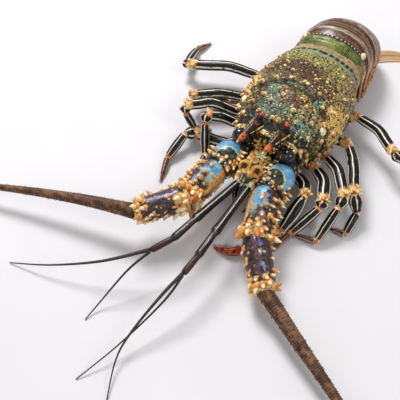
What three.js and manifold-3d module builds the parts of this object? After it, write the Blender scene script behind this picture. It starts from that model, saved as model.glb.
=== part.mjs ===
// Pronghorn spiny lobster, life size, lying on its belly with its tail curled under it.
// Millimetres, +Z up. The head faces -Y and the animal's own left side is +X.
import * as THREE from 'three';
import Module from 'manifold-3d';

// Driving dimensions, for a carapace 100 mm long
const CARAPACE_LENGTH = 100;
const REAR_Y = 51;
const FRONT_Y = REAR_Y - CARAPACE_LENGTH;
const SHELL_EDGE_Z = 13;
const BELLY_TOP_Z = 12.7;
const GAP = 0.3;
const FLOOR_DEPTH = 20;
const WHOLE_SPAN = 1200;
const WHIP_STEPS = 22;
const SMALL_WHIP_STEPS = 12;

// Degrees by which the spines on the outer side of a limb lean out more than those above and below
const LEAN_CHANGE = 24;

// The carapace: half width, top and height of the widest line, `at` mm in front of the rear margin
const SHELL_STATIONS = [
  { at: 0, half: 28.5, top: 50, side: 27 },
  { at: 14, half: 32, top: 55.5, side: 28 },
  { at: 34, half: 37.5, top: 59.5, side: 29 },
  { at: 58, half: 38.8, top: 60.5, side: 30 },
  { at: 78, half: 34, top: 58, side: 31 },
  { at: 92, half: 28, top: 54, side: 32 },
  { at: 100, half: 23.5, top: 50, side: 32 },
];
const SHELL_RINGS = 19;
const SHELL_TUCK = 0.2;
const SHELL_LAST_TURN = 132;
const SHELL_TURN_STEP = 16.5;

// The underside between the legs, from head to rear
const BELLY_STATIONS = [
  { y: -41, half: 9, flat: 5 },
  { y: -28, half: 12.5, flat: 8 },
  { y: -8, half: 17.5, flat: 12 },
  { y: 14, half: 22, flat: 15 },
  { y: 34, half: 23.5, flat: 16 },
  { y: 48, half: 17, flat: 11 },
];

// Rows of spines over each side of the carapace: how far round from the top line in degrees,
// and the places of its spines in front of the rear margin
const SPINE_ROWS = [
  { turn: 4, places: [90, 54, 31] },
  { turn: 12, places: [78, 66, 44] },
  { turn: 24, places: [86, 72, 57, 39] },
  { turn: 38, places: [78, 63, 47, 27] },
  { turn: 53, places: [88, 72, 57, 40, 24] },
  { turn: 70, places: [97, 82, 66, 49, 32] },
  { turn: 87, places: [91, 74, 58, 42, 22] },
  { turn: 103, places: [95, 82, 66, 50] },
];
const SPINE = { shortest: 2.4, longest: 6.2, radius: 1.75, lean: 0.95 };

// Horns over the eyes
const HORN = { x: 9.5, base: 4.9, root: [-38, 47], middle: [-60, 56.5], tip: [-75, 62] };

// Eyes on short stalks beside the horns
const EYE = { x: 18.5, y: -52, z: 41, radius: 5.6, stalk: 3.4 };

// The plate between the feelers, with its two pairs of spines
const PLATE = { half: 6.6, top: 36, bottom: 19, front: -77 };

// The abdomen: each hinge by its back (y, z), its underside (y, z), its half width and its sidestep
const HINGES = [
  { back: [51.9, 48], under: [52.6, 12], half: 28.5, x: 0 },
  { back: [63.5, 51], under: [58, 13], half: 29.5, x: 0 },
  { back: [82, 49.5], under: [65, 15], half: 29.5, x: 0.5 },
  { back: [99, 41.5], under: [71.5, 15.5], half: 28.5, x: 1.5 },
  { back: [110.5, 27.5], under: [79, 14], half: 26.5, x: 3 },
  { back: [113.5, 13], under: [86.5, 12], half: 23.5, x: 4.5 },
  { back: [103, 0.4], under: [90.5, 7.5], half: 17.5, x: 6 },
];

// The pointed lobes along both sides of the abdomen, out and down from its edge
const LOBE = { out: 6.5, down: 7.5 };

const wasm = await Module();
wasm.setup();

const UP = new THREE.Vector3(0, 0, 1);

function vec(x, y, z) {
  return new THREE.Vector3(x, y, z);
}

function mix(from, to, share) {
  return from.clone().lerp(to, share);
}

function degrees(angle) {
  return (angle * Math.PI) / 180;
}

// Even random numbers from 0 to 1 that are the same on every run
function seeded(seed) {
  let state = seed;
  return () => {
    state = (state * 1664525 + 1013904223) % 4294967296;
    return state / 4294967296;
  };
}

// A smooth value of one column of a table of stations
function along(rows, place, column, at) {
  let i = 0;
  while (i < rows.length - 2 && at > rows[i + 1][place]) i += 1;
  const before = rows[Math.max(i - 1, 0)];
  const from = rows[i];
  const to = rows[i + 1];
  const after = rows[Math.min(i + 2, rows.length - 1)];
  const step = to[place] - from[place];
  const u = (at - from[place]) / step;
  const leave = (step * (to[column] - before[column])) / (to[place] - before[place]);
  const arrive = (step * (after[column] - from[column])) / (after[place] - from[place]);
  const held = (2 * u ** 3 - 3 * u ** 2 + 1) * from[column] + (3 * u ** 2 - 2 * u ** 3) * to[column];
  return held + (u ** 3 - 2 * u ** 2 + u) * leave + (u ** 3 - u ** 2) * arrive;
}

// A solid from corner points and triangles, turned so that its faces point out
function solidOf(points, faces) {
  let volume = 0;
  for (const [a, b, c] of faces) volume += points[a].dot(points[b].clone().cross(points[c]));
  const turned = volume > 0 ? faces : faces.map(([a, b, c]) => [a, c, b]);
  const vertProperties = new Float32Array(points.flatMap((point) => point.toArray()));
  const triVerts = new Uint32Array(turned.flat());
  return new wasm.Manifold(new wasm.Mesh({ numProp: 3, vertProperties, triVerts }));
}

// A closed body through a row of rings, each a list of points, with a fan over each end
function loft(rings) {
  const sides = rings[0].length;
  const points = rings.flat();
  const faces = [];
  for (let r = 0; r + 1 < rings.length; r += 1) {
    for (let i = 0; i < sides; i += 1) {
      const a = r * sides + i;
      const b = r * sides + ((i + 1) % sides);
      faces.push([a, b, b + sides], [a, b + sides, a + sides]);
    }
  }
  const first = points.length;
  const start = (rings.length - 1) * sides;
  points.push(middleOf(rings[0]), middleOf(rings[rings.length - 1]));
  for (let i = 0; i < sides; i += 1) {
    const next = (i + 1) % sides;
    faces.push([first, next, i], [first + 1, start + i, start + next]);
  }
  return solidOf(points, faces);
}

function middleOf(ring) {
  const sum = ring.reduce((total, point) => total.add(point), vec(0, 0, 0));
  return sum.divideScalar(ring.length);
}

// A rounded limb through stops: p is the place, w and h the half width and half height there
function limb(stops, sides, grow = 0) {
  const last = stops.length - 1;
  const first = stops[1].p.clone().sub(stops[0].p).normalize();
  let across = first.clone().cross(UP).normalize();
  const rings = stops.map((stop, i) => {
    const before = stops[Math.max(i - 1, 0)].p;
    const after = stops[Math.min(i + 1, last)].p;
    const ahead = after.clone().sub(before).normalize();
    across = across.clone().addScaledVector(ahead, -across.dot(ahead)).normalize();
    const lift = across.clone().cross(ahead);
    const shift = i === 0 ? -grow : i === last ? grow : 0;
    const centre = stop.p.clone().addScaledVector(ahead, shift);
    return Array.from({ length: sides }, (_, k) => {
      const turn = (2 * Math.PI * (k + 0.5)) / sides;
      const point = centre.clone().addScaledVector(across, Math.cos(turn) * (stop.w + grow));
      return point.addScaledVector(lift, Math.sin(turn) * (stop.h + grow));
    });
  });
  return loft(rings);
}

// The stops of a limb with a round end put on at both ends
function rounded(stops) {
  const last = stops.length - 1;
  const cap = (end, inner) => {
    const out = end.p.clone().sub(inner.p).normalize();
    const reach = 0.45 * Math.min(end.w, end.h);
    return { p: end.p.clone().addScaledVector(out, reach), w: 0.62 * end.w, h: 0.62 * end.h };
  };
  return [cap(stops[0], stops[1]), ...stops, cap(stops[last], stops[last - 1])];
}

function stop(p, w, h = w) {
  return { p, w, h };
}

// A pointed spine of five sides: it stands on root, and starts `sink` below it
function spine(root, direction, length, radius, grow = 0, sink = 2) {
  const ahead = direction.clone().normalize();
  const tilt = Math.abs(ahead.z) > 0.9 ? vec(1, 0, 0) : UP;
  const across = ahead.clone().cross(tilt).normalize();
  const lift = across.clone().cross(ahead);
  const foot = root.clone().addScaledVector(ahead, -sink - grow);
  const ring = Array.from({ length: 5 }, (_, k) => {
    const turn = degrees(72 * k + 18);
    const reach = radius + grow;
    const point = foot.clone().addScaledVector(across, Math.cos(turn) * reach);
    return point.addScaledVector(lift, Math.sin(turn) * reach);
  });
  const points = [...ring, root.clone().addScaledVector(ahead, length + 2 * grow)];
  const faces = [[0, 1, 2], [0, 2, 3], [0, 3, 4]];
  for (let k = 0; k < 5; k += 1) faces.push([k, 5, (k + 1) % 5]);
  return solidOf(points, faces);
}

// Spines round a limb that runs from one point to another. Turn 0 is the outer side and 90 the top.
// Those on the outer side lean out most.
function spinesRound(from, to, share, side, group, grow) {
  const ahead = to.clone().sub(from).normalize();
  const outer = ahead.clone().cross(UP).normalize().multiplyScalar(-side);
  const lift = vec(0, 0, 1).addScaledVector(ahead, -ahead.z).normalize();
  const draw = seeded(group.seed);
  return group.turns.map((turn) => {
    const angle = degrees(turn + 8 * (draw() - 0.5));
    const out = outer.clone().multiplyScalar(Math.cos(angle)).addScaledVector(lift, Math.sin(angle));
    const root = mix(from, to, share + 0.03 * (draw() - 0.5)).addScaledVector(out, group.reach);
    const lean = degrees(group.lean + LEAN_CHANGE * Math.cos(angle));
    const direction = out.multiplyScalar(Math.sin(lean)).addScaledVector(ahead, Math.cos(lean));
    return spine(root, direction, group.length * (0.82 + 0.36 * draw()), group.radius, grow, group.sink);
  });
}

function ball(centre, x, y, z, grow = 0) {
  const shape = new THREE.SphereGeometry(1, 12, 8);
  const place = shape.getAttribute('position');
  const points = [];
  const index = new Map();
  const same = [];
  for (let i = 0; i < place.count; i += 1) {
    const point = new THREE.Vector3().fromBufferAttribute(place, i);
    const key = point.toArray().map((value) => Math.round(value * 1e4)).join(' ');
    if (!index.has(key)) {
      index.set(key, points.length);
      points.push(vec(point.x * (x + grow), point.z * (y + grow), point.y * (z + grow)).add(centre));
    }
    same.push(index.get(key));
  }
  const order = shape.getIndex().array;
  const faces = [];
  for (let i = 0; i < order.length; i += 3) {
    const face = [same[order[i]], same[order[i + 1]], same[order[i + 2]]];
    if (new Set(face).size === 3) faces.push(face);
  }
  return solidOf(points, faces);
}

function join(pieces) {
  return pieces.reduce((whole, piece) => whole.add(piece));
}

// A block from one corner to the other
function block(low, high) {
  const corners = [[low.x, low.y], [high.x, low.y], [high.x, high.y], [low.x, high.y]];
  const ring = (z) => corners.map(([x, y]) => vec(x, y, z));
  return loft([ring(low.z), ring(high.z)]);
}

const BELOW_FLOOR = block(
  vec(-WHOLE_SPAN, -WHOLE_SPAN, -FLOOR_DEPTH),
  vec(WHOLE_SPAN, WHOLE_SPAN, 0),
);

// The largest closed surface of a solid that has been cut
function largest(solid) {
  const bodies = solid.decompose();
  return bodies.reduce((best, body) => (body.volume() > best.volume() ? body : best));
}

const SHELL = { color: 0x5d5f38, roughness: 0.55, metalness: 0 };
const DARK = { color: 0x231d1f, roughness: 0.4, metalness: 0 };
const SEGMENT = { color: 0x4a3a44, roughness: 0.5, metalness: 0 };
const WHIP = { color: 0x5a4a42, roughness: 0.6, metalness: 0 };
const EYE_BLACK = { color: 0x15101a, roughness: 0.15, metalness: 0 };
const LEG = { color: 0x1f1c1a, roughness: 0.4, metalness: 0 };
const TAIL = { color: 0x6d4f3f, roughness: 0.45, metalness: 0 };
const PALE = { color: 0x8a7a63, roughness: 0.6, metalness: 0 };

const lobster = new THREE.Group();

// A named mesh of what is left of a solid after its neighbours, grown by the gap, are taken away
function add(name, solid, finish, neighbours = []) {
  const cut = [BELOW_FLOOR, ...neighbours].reduce((rest, piece) => rest.subtract(piece), solid);
  const shape = largest(cut).getMesh();
  const geometry = new THREE.BufferGeometry();
  geometry.setAttribute('position', new THREE.BufferAttribute(shape.vertProperties, 3));
  geometry.setIndex(new THREE.BufferAttribute(shape.triVerts, 1));
  const mesh = new THREE.Mesh(geometry, new THREE.MeshStandardMaterial(finish));
  mesh.name = name;
  lobster.add(mesh);
}

// The carapace

// A point of the shell, turn degrees round from its top line, + to the left
function shellPoint(at, turn, grow = 0) {
  const half = along(SHELL_STATIONS, 'at', 'half', at) + grow;
  const top = along(SHELL_STATIONS, 'at', 'top', at) + grow;
  const side = along(SHELL_STATIONS, 'at', 'side', at);
  const away = Math.abs(turn);
  const sign = Math.sign(turn);
  const rear = Math.max(0, 1 - at / 30);
  const front = Math.max(0, (at - 70) / 30);
  const angle = degrees(Math.min(away, 90));
  const low = Math.max(0, (away - 90) / (SHELL_LAST_TURN - 90));
  const x = half * Math.sin(angle) ** 0.92 * (1 - SHELL_TUCK * low ** 1.6);
  const z = away <= 90
    ? side + (top - side) * Math.cos(angle) ** 0.92
    : side - (side - SHELL_EDGE_Z + grow) * low;
  const sweep = Math.sin(angle) ** 2;
  const y = REAR_Y - at + rear * (3 * sweep - 9 * low) + front * (5 * sweep + 3 * low);
  const end = at <= 0 ? grow : at >= CARAPACE_LENGTH ? -grow : 0;
  return vec(sign * x, y + end, z);
}

// Which way the shell faces at a point
function shellNormal(at, turn) {
  const forward = shellPoint(at + 1, turn).sub(shellPoint(at - 1, turn));
  const round = shellPoint(at, turn + 1).sub(shellPoint(at, turn - 1));
  return round.cross(forward).normalize();
}

function shellBody(grow) {
  const turns = [];
  for (let turn = -SHELL_LAST_TURN; turn <= SHELL_LAST_TURN; turn += SHELL_TURN_STEP) turns.push(turn);
  const rings = Array.from({ length: SHELL_RINGS }, (_, i) => {
    const at = (CARAPACE_LENGTH * i) / (SHELL_RINGS - 1);
    return turns.map((turn) => shellPoint(at, turn, grow));
  });
  return loft(rings);
}

function horn(side, grow) {
  const at = ([y, z]) => vec(side * HORN.x, y, z);
  const [root, middle, tip] = [at(HORN.root), at(HORN.middle), at(HORN.tip)];
  const stops = [
    stop(root, HORN.base + 1.5, HORN.base),
    stop(mix(root, middle, 0.45), HORN.base, HORN.base),
    stop(middle, HORN.base * 0.7, HORN.base * 0.62),
    stop(mix(middle, tip, 0.6), HORN.base * 0.42, HORN.base * 0.36),
    stop(tip, 0.4, 0.4),
  ];
  return limb(stops, 7, grow);
}

// The spines of both sides lean forward, and grow longer towards the head
function shellSpines(grow) {
  const draw = seeded(11);
  const spines = [];
  for (const side of [-1, 1]) {
    for (const { turn, places } of SPINE_ROWS) {
      for (const place of places) {
        const at = Math.min(place + 5 * (draw() - 0.5), CARAPACE_LENGTH - 2);
        const round = side * (turn + 5 * (draw() - 0.5));
        const root = shellPoint(at, round);
        const direction = shellNormal(at, round).add(vec(0, -SPINE.lean, 0));
        const forward = at / CARAPACE_LENGTH;
        const length = SPINE.shortest + (SPINE.longest - SPINE.shortest) * forward ** 2;
        const radius = SPINE.radius * (0.62 + 0.38 * forward);
        spines.push(spine(root, direction, length * (0.8 + 0.4 * draw()), radius, grow));
      }
    }
  }
  return spines;
}

function carapace(grow) {
  return join([shellBody(grow), horn(-1, grow), horn(1, grow), ...shellSpines(grow)]);
}

// The underside, with a long flat to lie on
function belly(grow) {
  const rings = BELLY_STATIONS.map(({ y, half, flat }, i) => {
    const end = i === 0 ? -grow : i === BELLY_STATIONS.length - 1 ? grow : 0;
    const edge = [[flat + grow, 0], [half + grow, 6], [half + grow, BELLY_TOP_Z]];
    const left = edge.map(([x, z]) => vec(x, y + end, z));
    const right = edge.map(([x, z]) => vec(-x, y + end, z)).reverse();
    return [...left, ...right];
  });
  return loft(rings);
}

function mouth(grow) {
  const stops = [
    stop(vec(0, -41, 8), 8, 4.6),
    stop(vec(0, -50, 8.5), 9.5, 4.8),
    stop(vec(0, -60, 9), 8, 4.2),
    stop(vec(0, -66, 10), 4.5, 2.6),
  ];
  return limb(stops, 8, grow);
}

// The plate between the feelers

function plate(grow) {
  const { half, top, bottom, front } = PLATE;
  const ring = (y, width, high) => [
    vec(-width - grow, y, bottom - grow),
    vec(-width - grow, y, high - 5),
    vec(-0.55 * width, y, high + grow),
    vec(0.55 * width, y, high + grow),
    vec(width + grow, y, high - 5),
    vec(width + grow, y, bottom - grow),
  ];
  const body = loft([
    ring(FRONT_Y - GAP + grow, half, top),
    ring(FRONT_Y - 14, half, top + 1),
    ring(front + 5, half * 1.05, top + 1),
    ring(front - grow, half * 0.8, top - 3),
  ]);
  const spines = [-1, 1].flatMap((side) => [
    spine(vec(side * 4, front + 7, top - 1), vec(side * 0.12, -0.62, 0.75), 12, 3.2, grow, 3),
    spine(vec(side * 4, front + 2, top - 6), vec(side * 0.2, -0.85, 0.35), 9, 2.8, grow, 3),
  ]);
  return join([body, ...spines]);
}

function eye(side, grow) {
  const centre = vec(side * EYE.x, EYE.y, EYE.z);
  const root = vec(side * (EYE.x - 8), EYE.y + 3, EYE.z - 2);
  const stalk = limb([stop(root, EYE.stalk), stop(centre, EYE.stalk)], 8, grow);
  return join([ball(centre, EYE.radius, EYE.radius * 0.9, EYE.radius * 0.95, grow), stalk]);
}

// The feelers: three broad segments and a long whip on each side

const FEELERS = {
  R: {
    side: -1,
    taper: 1.9,
    root: vec(-17, -48, 27),
    joints: [vec(-23.5, -78.5, 28), vec(-27, -110.5, 30), vec(-50.5, -135, 26.5)],
    whip: [
      vec(-95, -145, 22),
      vec(-150, -161, 15),
      vec(-215, -186, 8),
      vec(-275, -214, 3),
      vec(-322, -238, 0.5),
    ],
  },
  L: {
    side: 1,
    taper: 1.25,
    root: vec(17, -48, 27),
    joints: [vec(17.5, -78, 27.5), vec(26, -109.5, 20.5), vec(48.5, -138.5, 15.5)],
    whip: [
      vec(84, -159, 13.5),
      vec(118, -178, 11),
      vec(170, -209, 7),
      vec(222, -249, 3),
      vec(258, -292, 0.5),
    ],
  },
};

// Groups of spines on the broad segments
const BASE_SPINES = {
  seed: 3,
  turns: [-28, 6, 40, 84],
  reach: 10.4,
  lean: 52,
  length: 6,
  radius: 1.8,
  sink: 2.5,
};
const MIDDLE_RING = {
  seed: 5,
  turns: [-112, -76, -42, -10, 20, 50, 80, 108, 134, 160],
  reach: 9.6,
  lean: 50,
  length: 8,
  radius: 2,
  sink: 2.5,
};
const MIDDLE_ROW = {
  seed: 8,
  turns: [-30, 10, 48, 88],
  reach: 10,
  lean: 50,
  length: 5.5,
  radius: 1.7,
  sink: 2.5,
};
const OUTER_RING = {
  seed: 13,
  turns: [-96, -52, -12, 28, 66, 104, 142, 180, 222],
  reach: 7.4,
  lean: 42,
  length: 6,
  radius: 1.6,
  sink: 2.5,
};
const OUTER_ROW = {
  seed: 17,
  turns: [-24, 24, 70, 118, 166, 214],
  reach: 8.6,
  lean: 48,
  length: 5,
  radius: 1.5,
  sink: 2.5,
};
const KNEE_SPINES = {
  seed: 19,
  turns: [40, 90, 140],
  reach: 3.2,
  lean: 40,
  length: 3.6,
  radius: 1.1,
  sink: 1.6,
};

function feelerBase(feeler, grow) {
  const { side, root } = feeler;
  const end = feeler.joints[0];
  const body = limb([
    stop(root, 10, 8.5),
    stop(mix(root, end, 0.3), 11.5, 10.5),
    stop(mix(root, end, 0.65), 12, 11),
    stop(mix(root, end, 0.92), 11, 10),
  ], 12, grow);
  const dome = ball(vec(side * 20.5, -65, 32.5), 10, 10.5, 8.2, grow);
  return join([body, dome, ...spinesRound(root, end, 0.86, side, BASE_SPINES, grow)]);
}

function feelerMiddle(feeler, grow) {
  const [start, end] = feeler.joints;
  const { side } = feeler;
  const body = limb(rounded([
    stop(start, 9.6, 9),
    stop(mix(start, end, 0.25), 11, 10.2),
    stop(mix(start, end, 0.7), 10.6, 9.6),
    stop(mix(start, end, 0.96), 11, 10),
  ]), 10, grow);
  return join([
    body,
    ...spinesRound(start, end, 0.92, side, MIDDLE_RING, grow),
    ...spinesRound(start, end, 0.36, side, MIDDLE_ROW, grow),
    ...spinesRound(start, end, 0.62, side, MIDDLE_ROW, grow),
  ]);
}

function feelerOuter(feeler, grow) {
  const start = feeler.joints[1];
  const end = feeler.joints[2];
  const { side } = feeler;
  const body = limb(rounded([
    stop(start, 8.4, 8),
    stop(mix(start, end, 0.25), 9.6, 9),
    stop(mix(start, end, 0.7), 8.8, 8.2),
    stop(mix(start, end, 0.96), 8.2, 7.6),
  ]), 10, grow);
  return join([
    body,
    ...spinesRound(start, end, 0.9, side, OUTER_RING, grow),
    ...spinesRound(start, end, 0.34, side, OUTER_ROW, grow),
    ...spinesRound(start, end, 0.63, side, OUTER_ROW, grow),
  ]);
}

function feelerWhip(feeler, grow) {
  const line = new THREE.CatmullRomCurve3([feeler.joints[2], ...feeler.whip]);
  const stops = line.getSpacedPoints(WHIP_STEPS).map((point, i) => {
    const share = i / WHIP_STEPS;
    const radius = 0.55 + 5 * (1 - share) ** feeler.taper;
    return stop(point, radius, radius);
  });
  return limb(stops, 8, grow);
}

// The small feelers: a stem of three segments and two thin whips on each side

const SMALL_FEELERS = {
  R: {
    stem: [vec(-3.8, -77.8, 27), vec(-12.3, -122.7, 31), vec(-17.1, -141.3, 29), vec(-26, -155.6, 26)],
    outer: [vec(-51.6, -174.4, 18), vec(-82.7, -190.3, 9), vec(-112, -200, 0.4)],
    inner: [vec(-33, -171.7, 19), vec(-40.5, -194.2, 5), vec(-43, -208, 0.4)],
  },
  L: {
    stem: [vec(3.8, -77.8, 27), vec(4.1, -125.3, 31), vec(3.2, -144.9, 29), vec(1.5, -160, 27)],
    outer: [vec(-3.3, -178.2, 23), vec(-9, -205.4, 12), vec(-8.3, -223.3, 6), vec(1, -247, 0.4)],
    inner: [vec(-1.5, -178.6, 18), vec(-11.5, -212, 9), vec(-24, -243, 0.4)],
  },
};

function smallStem(feeler, grow) {
  const [root, first, second, end] = feeler.stem;
  return limb([
    stop(root, 2.8, 2.6),
    stop(mix(root, first, 0.5), 2.9, 2.6),
    stop(mix(root, first, 0.94), 3.3, 3),
    stop(mix(first, second, 0.12), 2.5, 2.3),
    stop(mix(first, second, 0.9), 2.9, 2.6),
    stop(mix(second, end, 0.15), 2.2, 2),
    stop(mix(second, end, 0.85), 2.5, 2.3),
    stop(end, 2.2, 2),
  ], 8, grow);
}

function smallWhip(feeler, branch, grow) {
  const stemEnd = feeler.stem[3];
  const shift = branch === 'outer' ? 1.2 : -1.2;
  const line = new THREE.CatmullRomCurve3([stemEnd.clone().add(vec(0, 0, shift)), ...feeler[branch]]);
  const start = branch === 'outer' ? 1.5 : 1.1;
  const stops = line.getSpacedPoints(SMALL_WHIP_STEPS).map((point, i) => {
    const radius = 0.4 + (start - 0.4) * (1 - i / SMALL_WHIP_STEPS) ** 1.3;
    return stop(point, radius, radius);
  });
  return limb(stops, 6, grow);
}

// The legs: hip on the belly, end of the first segments, bow of the long segment, knee,
// end of the short segment after it, ankle and tip

const LEGS = {
  R1: {
    width: 4.6,
    upper: [vec(-11, -32, 7), vec(-28, -36, 7.5), vec(-46, -38.5, 6), vec(-61, -42.5, 10)],
    lower: [vec(-66, -49, 11.5), vec(-68.5, -70, 4), vec(-62, -90, 0.4)],
  },
  R2: {
    width: 4.4,
    upper: [vec(-13, -20, 8), vec(-32, -22, 15), vec(-46, -27.5, 22), vec(-56, -32.5, 23)],
    lower: [vec(-55, -38, 20), vec(-45.5, -54, 5), vec(-44, -73, 0.4)],
  },
  R3: {
    width: 4.2,
    upper: [vec(-16, -7, 8), vec(-36, -12.5, 16), vec(-58, -22, 26), vec(-73.5, -35.5, 26.5)],
    lower: [vec(-72, -38, 22), vec(-66.5, -34, 4), vec(-56, -27, 0.4)],
  },
  R4: {
    width: 4,
    upper: [vec(-19, 9, 8), vec(-37, 7, 15), vec(-60, -5, 20), vec(-79, -18, 19.5)],
    lower: [vec(-79, -10.5, 13), vec(-58, 4, 4.5), vec(-42, 12, 0.4)],
  },
  R5: {
    width: 4.4,
    upper: [vec(-21, 27, 8), vec(-42, 31.5, 15), vec(-70, 26, 18), vec(-100, 13, 16)],
    lower: [vec(-105, 18, 12), vec(-111, 42, 4), vec(-106, 58, 0.4)],
  },
  L1: {
    width: 4.6,
    upper: [vec(11, -32, 8), vec(24, -42, 13), vec(34, -52, 19), vec(38.5, -60.5, 21)],
    lower: [vec(35.2, -89, 8.5), vec(19, -111, 3.8), vec(-1, -118, 0.4)],
  },
  L2: {
    width: 4.5,
    upper: [vec(13, -20, 8), vec(34, -32.5, 17), vec(45.5, -45, 23), vec(52, -60.5, 22.5)],
    lower: [vec(52, -64.5, 20), vec(41, -84.5, 5.5), vec(35.5, -101, 0.4)],
  },
  L3: {
    width: 4.2,
    upper: [vec(16, -7, 8), vec(36, -19.5, 18), vec(50, -32.5, 25), vec(62.5, -50, 24)],
    lower: [vec(62.5, -57.5, 19.5), vec(58.5, -80.5, 4), vec(39, -82, 0.4)],
  },
  L4: {
    width: 4.2,
    upper: [vec(19, 9, 8), vec(46, -4, 22), vec(57, -22, 25), vec(67, -42, 21)],
    lower: [vec(74, -48.5, 10.5), vec(73, -64, 3), vec(61.5, -63.5, 0.4)],
  },
  L5: {
    width: 4,
    upper: [vec(21, 27, 8), vec(40, 29, 17), vec(60, 17, 25), vec(77, 2, 26)],
    lower: [vec(84, 1, 22), vec(101, 8, 4.5), vec(109, 19, 0.4)],
  },
};

function legUpper({ width, upper }, grow) {
  const [hip, basis, bow, knee] = upper;
  const side = Math.sign(hip.x);
  const body = limb([
    stop(hip, 5, 4.6),
    stop(mix(hip, basis, 0.55), 4.6, 4.2),
    stop(mix(hip, basis, 0.94), 4.2, 3.8),
    stop(mix(basis, bow, 0.08), 3.5, 3.2),
    stop(mix(basis, bow, 0.45), width, width * 0.82),
    stop(bow, width * 1.03, width * 0.85),
    stop(mix(bow, knee, 0.8), width, width * 0.85),
    stop(knee, width * 0.9, width * 0.8),
  ], 8, grow);
  return join([body, ...spinesRound(bow, knee, 0.84, side, KNEE_SPINES, grow)]);
}

function legLower({ width, upper, lower }, grow) {
  const knee = upper[3];
  const [wrist, ankle, tip] = lower;
  return limb([
    stop(mix(knee, wrist, 0.05), width * 0.8, width * 0.72),
    stop(mix(knee, wrist, 0.5), width * 1.1, width * 0.94),
    stop(mix(knee, wrist, 0.92), width * 0.86, width * 0.76),
    stop(mix(wrist, ankle, 0.12), width * 0.74, width * 0.66),
    stop(mix(wrist, ankle, 0.5), width * 0.86, width * 0.78),
    stop(mix(wrist, ankle, 0.93), width * 0.66, width * 0.6),
    stop(mix(ankle, tip, 0.12), width * 0.5, width * 0.48),
    stop(mix(ankle, tip, 0.55), width * 0.42, width * 0.42),
    stop(tip, 0.45, 0.45),
  ], 8, grow);
}

// The folded limbs in front of the mouth
function mouthLeg(side, grow) {
  return limb([
    stop(vec(side * 8, -41.5, 4.2), 3, 2.8),
    stop(vec(side * 10, -50, 3.2), 3.4, 2.8),
    stop(vec(side * 10.5, -62, 3.2), 3, 2.6),
    stop(vec(side * 9.5, -72, 4), 2.4, 2.2),
    stop(vec(side * 6.5, -78.5, 4.6), 2, 1.9),
    stop(vec(side * 3.5, -84, 3), 0.6, 0.6),
  ], 8, grow);
}

// The abdomen

// One ring of a tail segment, between two hinges
function tailRing(from, to, share, flare, grow) {
  const blend = (a, b) => a + (b - a) * share;
  const bulge = Math.max(Math.sin(Math.PI * share), 0);
  const back = vec(0, blend(from.back[0], to.back[0]), blend(from.back[1], to.back[1]));
  const under = vec(0, blend(from.under[0], to.under[0]), blend(from.under[1], to.under[1]));
  const rise = back.clone().sub(under);
  const height = rise.length() + flare + bulge + grow;
  rise.normalize();
  const half = blend(from.half, to.half) + flare + 0.6 * bulge + grow;
  const middle = blend(from.x, to.x);
  const turns = [-146, -118, -100, -82, -62, -41, -20, 0, 20, 41, 62, 82, 100, 118, 146];
  const belt = 0.34 * height;
  const lobe = bulge ** 1.4;
  return turns.map((turn) => {
    const away = degrees(Math.min(Math.abs(turn), 90));
    const low = Math.min(Math.max(0, (Math.abs(turn) - 90) / 28), 1);
    const flap = Math.abs(turn) > 120 ? 0 : low * lobe;
    const inset = Math.abs(turn) > 120 ? 0.5 : 0.16 * low;
    const x = half * Math.sin(away) ** 0.9 * (1 - inset) + LOBE.out * flap;
    const up = belt + (height - belt) * Math.cos(away) ** 0.95 - (belt + grow) * low - LOBE.down * flap;
    return under.clone().addScaledVector(rise, up).add(vec(middle + Math.sign(turn) * x, 0, 0));
  });
}

function tailSegment(i, grow) {
  const from = HINGES[i];
  const to = HINGES[i + 1];
  const back = Math.hypot(to.back[0] - from.back[0], to.back[1] - from.back[1]);
  const under = Math.hypot(to.under[0] - from.under[0], to.under[1] - from.under[1]);
  const edge = (GAP / 2 - grow) / Math.min(back, under);
  const shares = [edge, 0.26, 0.55, 0.82, 1 - edge];
  const flares = [-0.8, 0, 0.1, 0.4, 0.7];
  return loft(shares.map((share, k) => tailRing(from, to, share, flares[k], grow)));
}

// Stations of a blade: share of its length, share of its half width, half thickness
const BLADE_STATIONS = [
  [0, 0.5, 0.75],
  [0.15, 0.72, 0.75],
  [0.45, 0.95, 0.7],
  [0.75, 1, 0.6],
  [0.92, 0.86, 0.52],
  [1, 0.45, 0.42],
];
const RIDGE = 0.35;

// A flat blade of the tail fan: root, heading in degrees from +Y towards +X, height, length and width
const FAN = {
  telson: { root: vec(6, 102, 0.7), heading: 183, length: 47, width: 12.5 },
  uropod_R_inner: { root: vec(-2, 98, 2.9), heading: 198, length: 40, width: 9.5 },
  uropod_R_outer: { root: vec(-9, 94, 5.1), heading: 216, length: 35, width: 9.5 },
  uropod_L_inner: { root: vec(16, 98, 2.9), heading: 168, length: 39, width: 9.5 },
  uropod_L_outer: { root: vec(13, 101, 0.7), heading: 54, length: 50, width: 7 },
};

// Its top carries ridges that spread from the root, and its underside is flat
function blade({ root, heading, length, width }) {
  const ahead = vec(Math.sin(degrees(heading)), Math.cos(degrees(heading)), 0);
  const across = ahead.clone().cross(UP);
  const ring = ([share, half, thick]) => {
    const centre = root.clone().addScaledVector(ahead, share * length);
    const top = [-1, -0.72, -0.45, -0.2, 0, 0.2, 0.45, 0.72, 1].map((column, i) => {
      const lift = thick * (1 - 0.5 * column ** 2) + (i % 2 === 0 ? RIDGE * (1 - column ** 2) : 0);
      return centre.clone().addScaledVector(across, column * half * width).addScaledVector(UP, lift);
    });
    const low = [0.9, 0, -0.9].map((column) => {
      const point = centre.clone().addScaledVector(across, column * half * width);
      return point.addScaledVector(UP, -thick);
    });
    return [...top, ...low];
  };
  return loft(BLADE_STATIONS.map(ring));
}

// Assembly: a body that touches another is cut clear of it by the gap

const sides = { R: -1, L: 1 };
const bellyRoom = belly(GAP);
const mouthRoom = mouth(GAP);
const shellRoom = carapace(GAP);
const plateRoom = plate(GAP);

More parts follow.
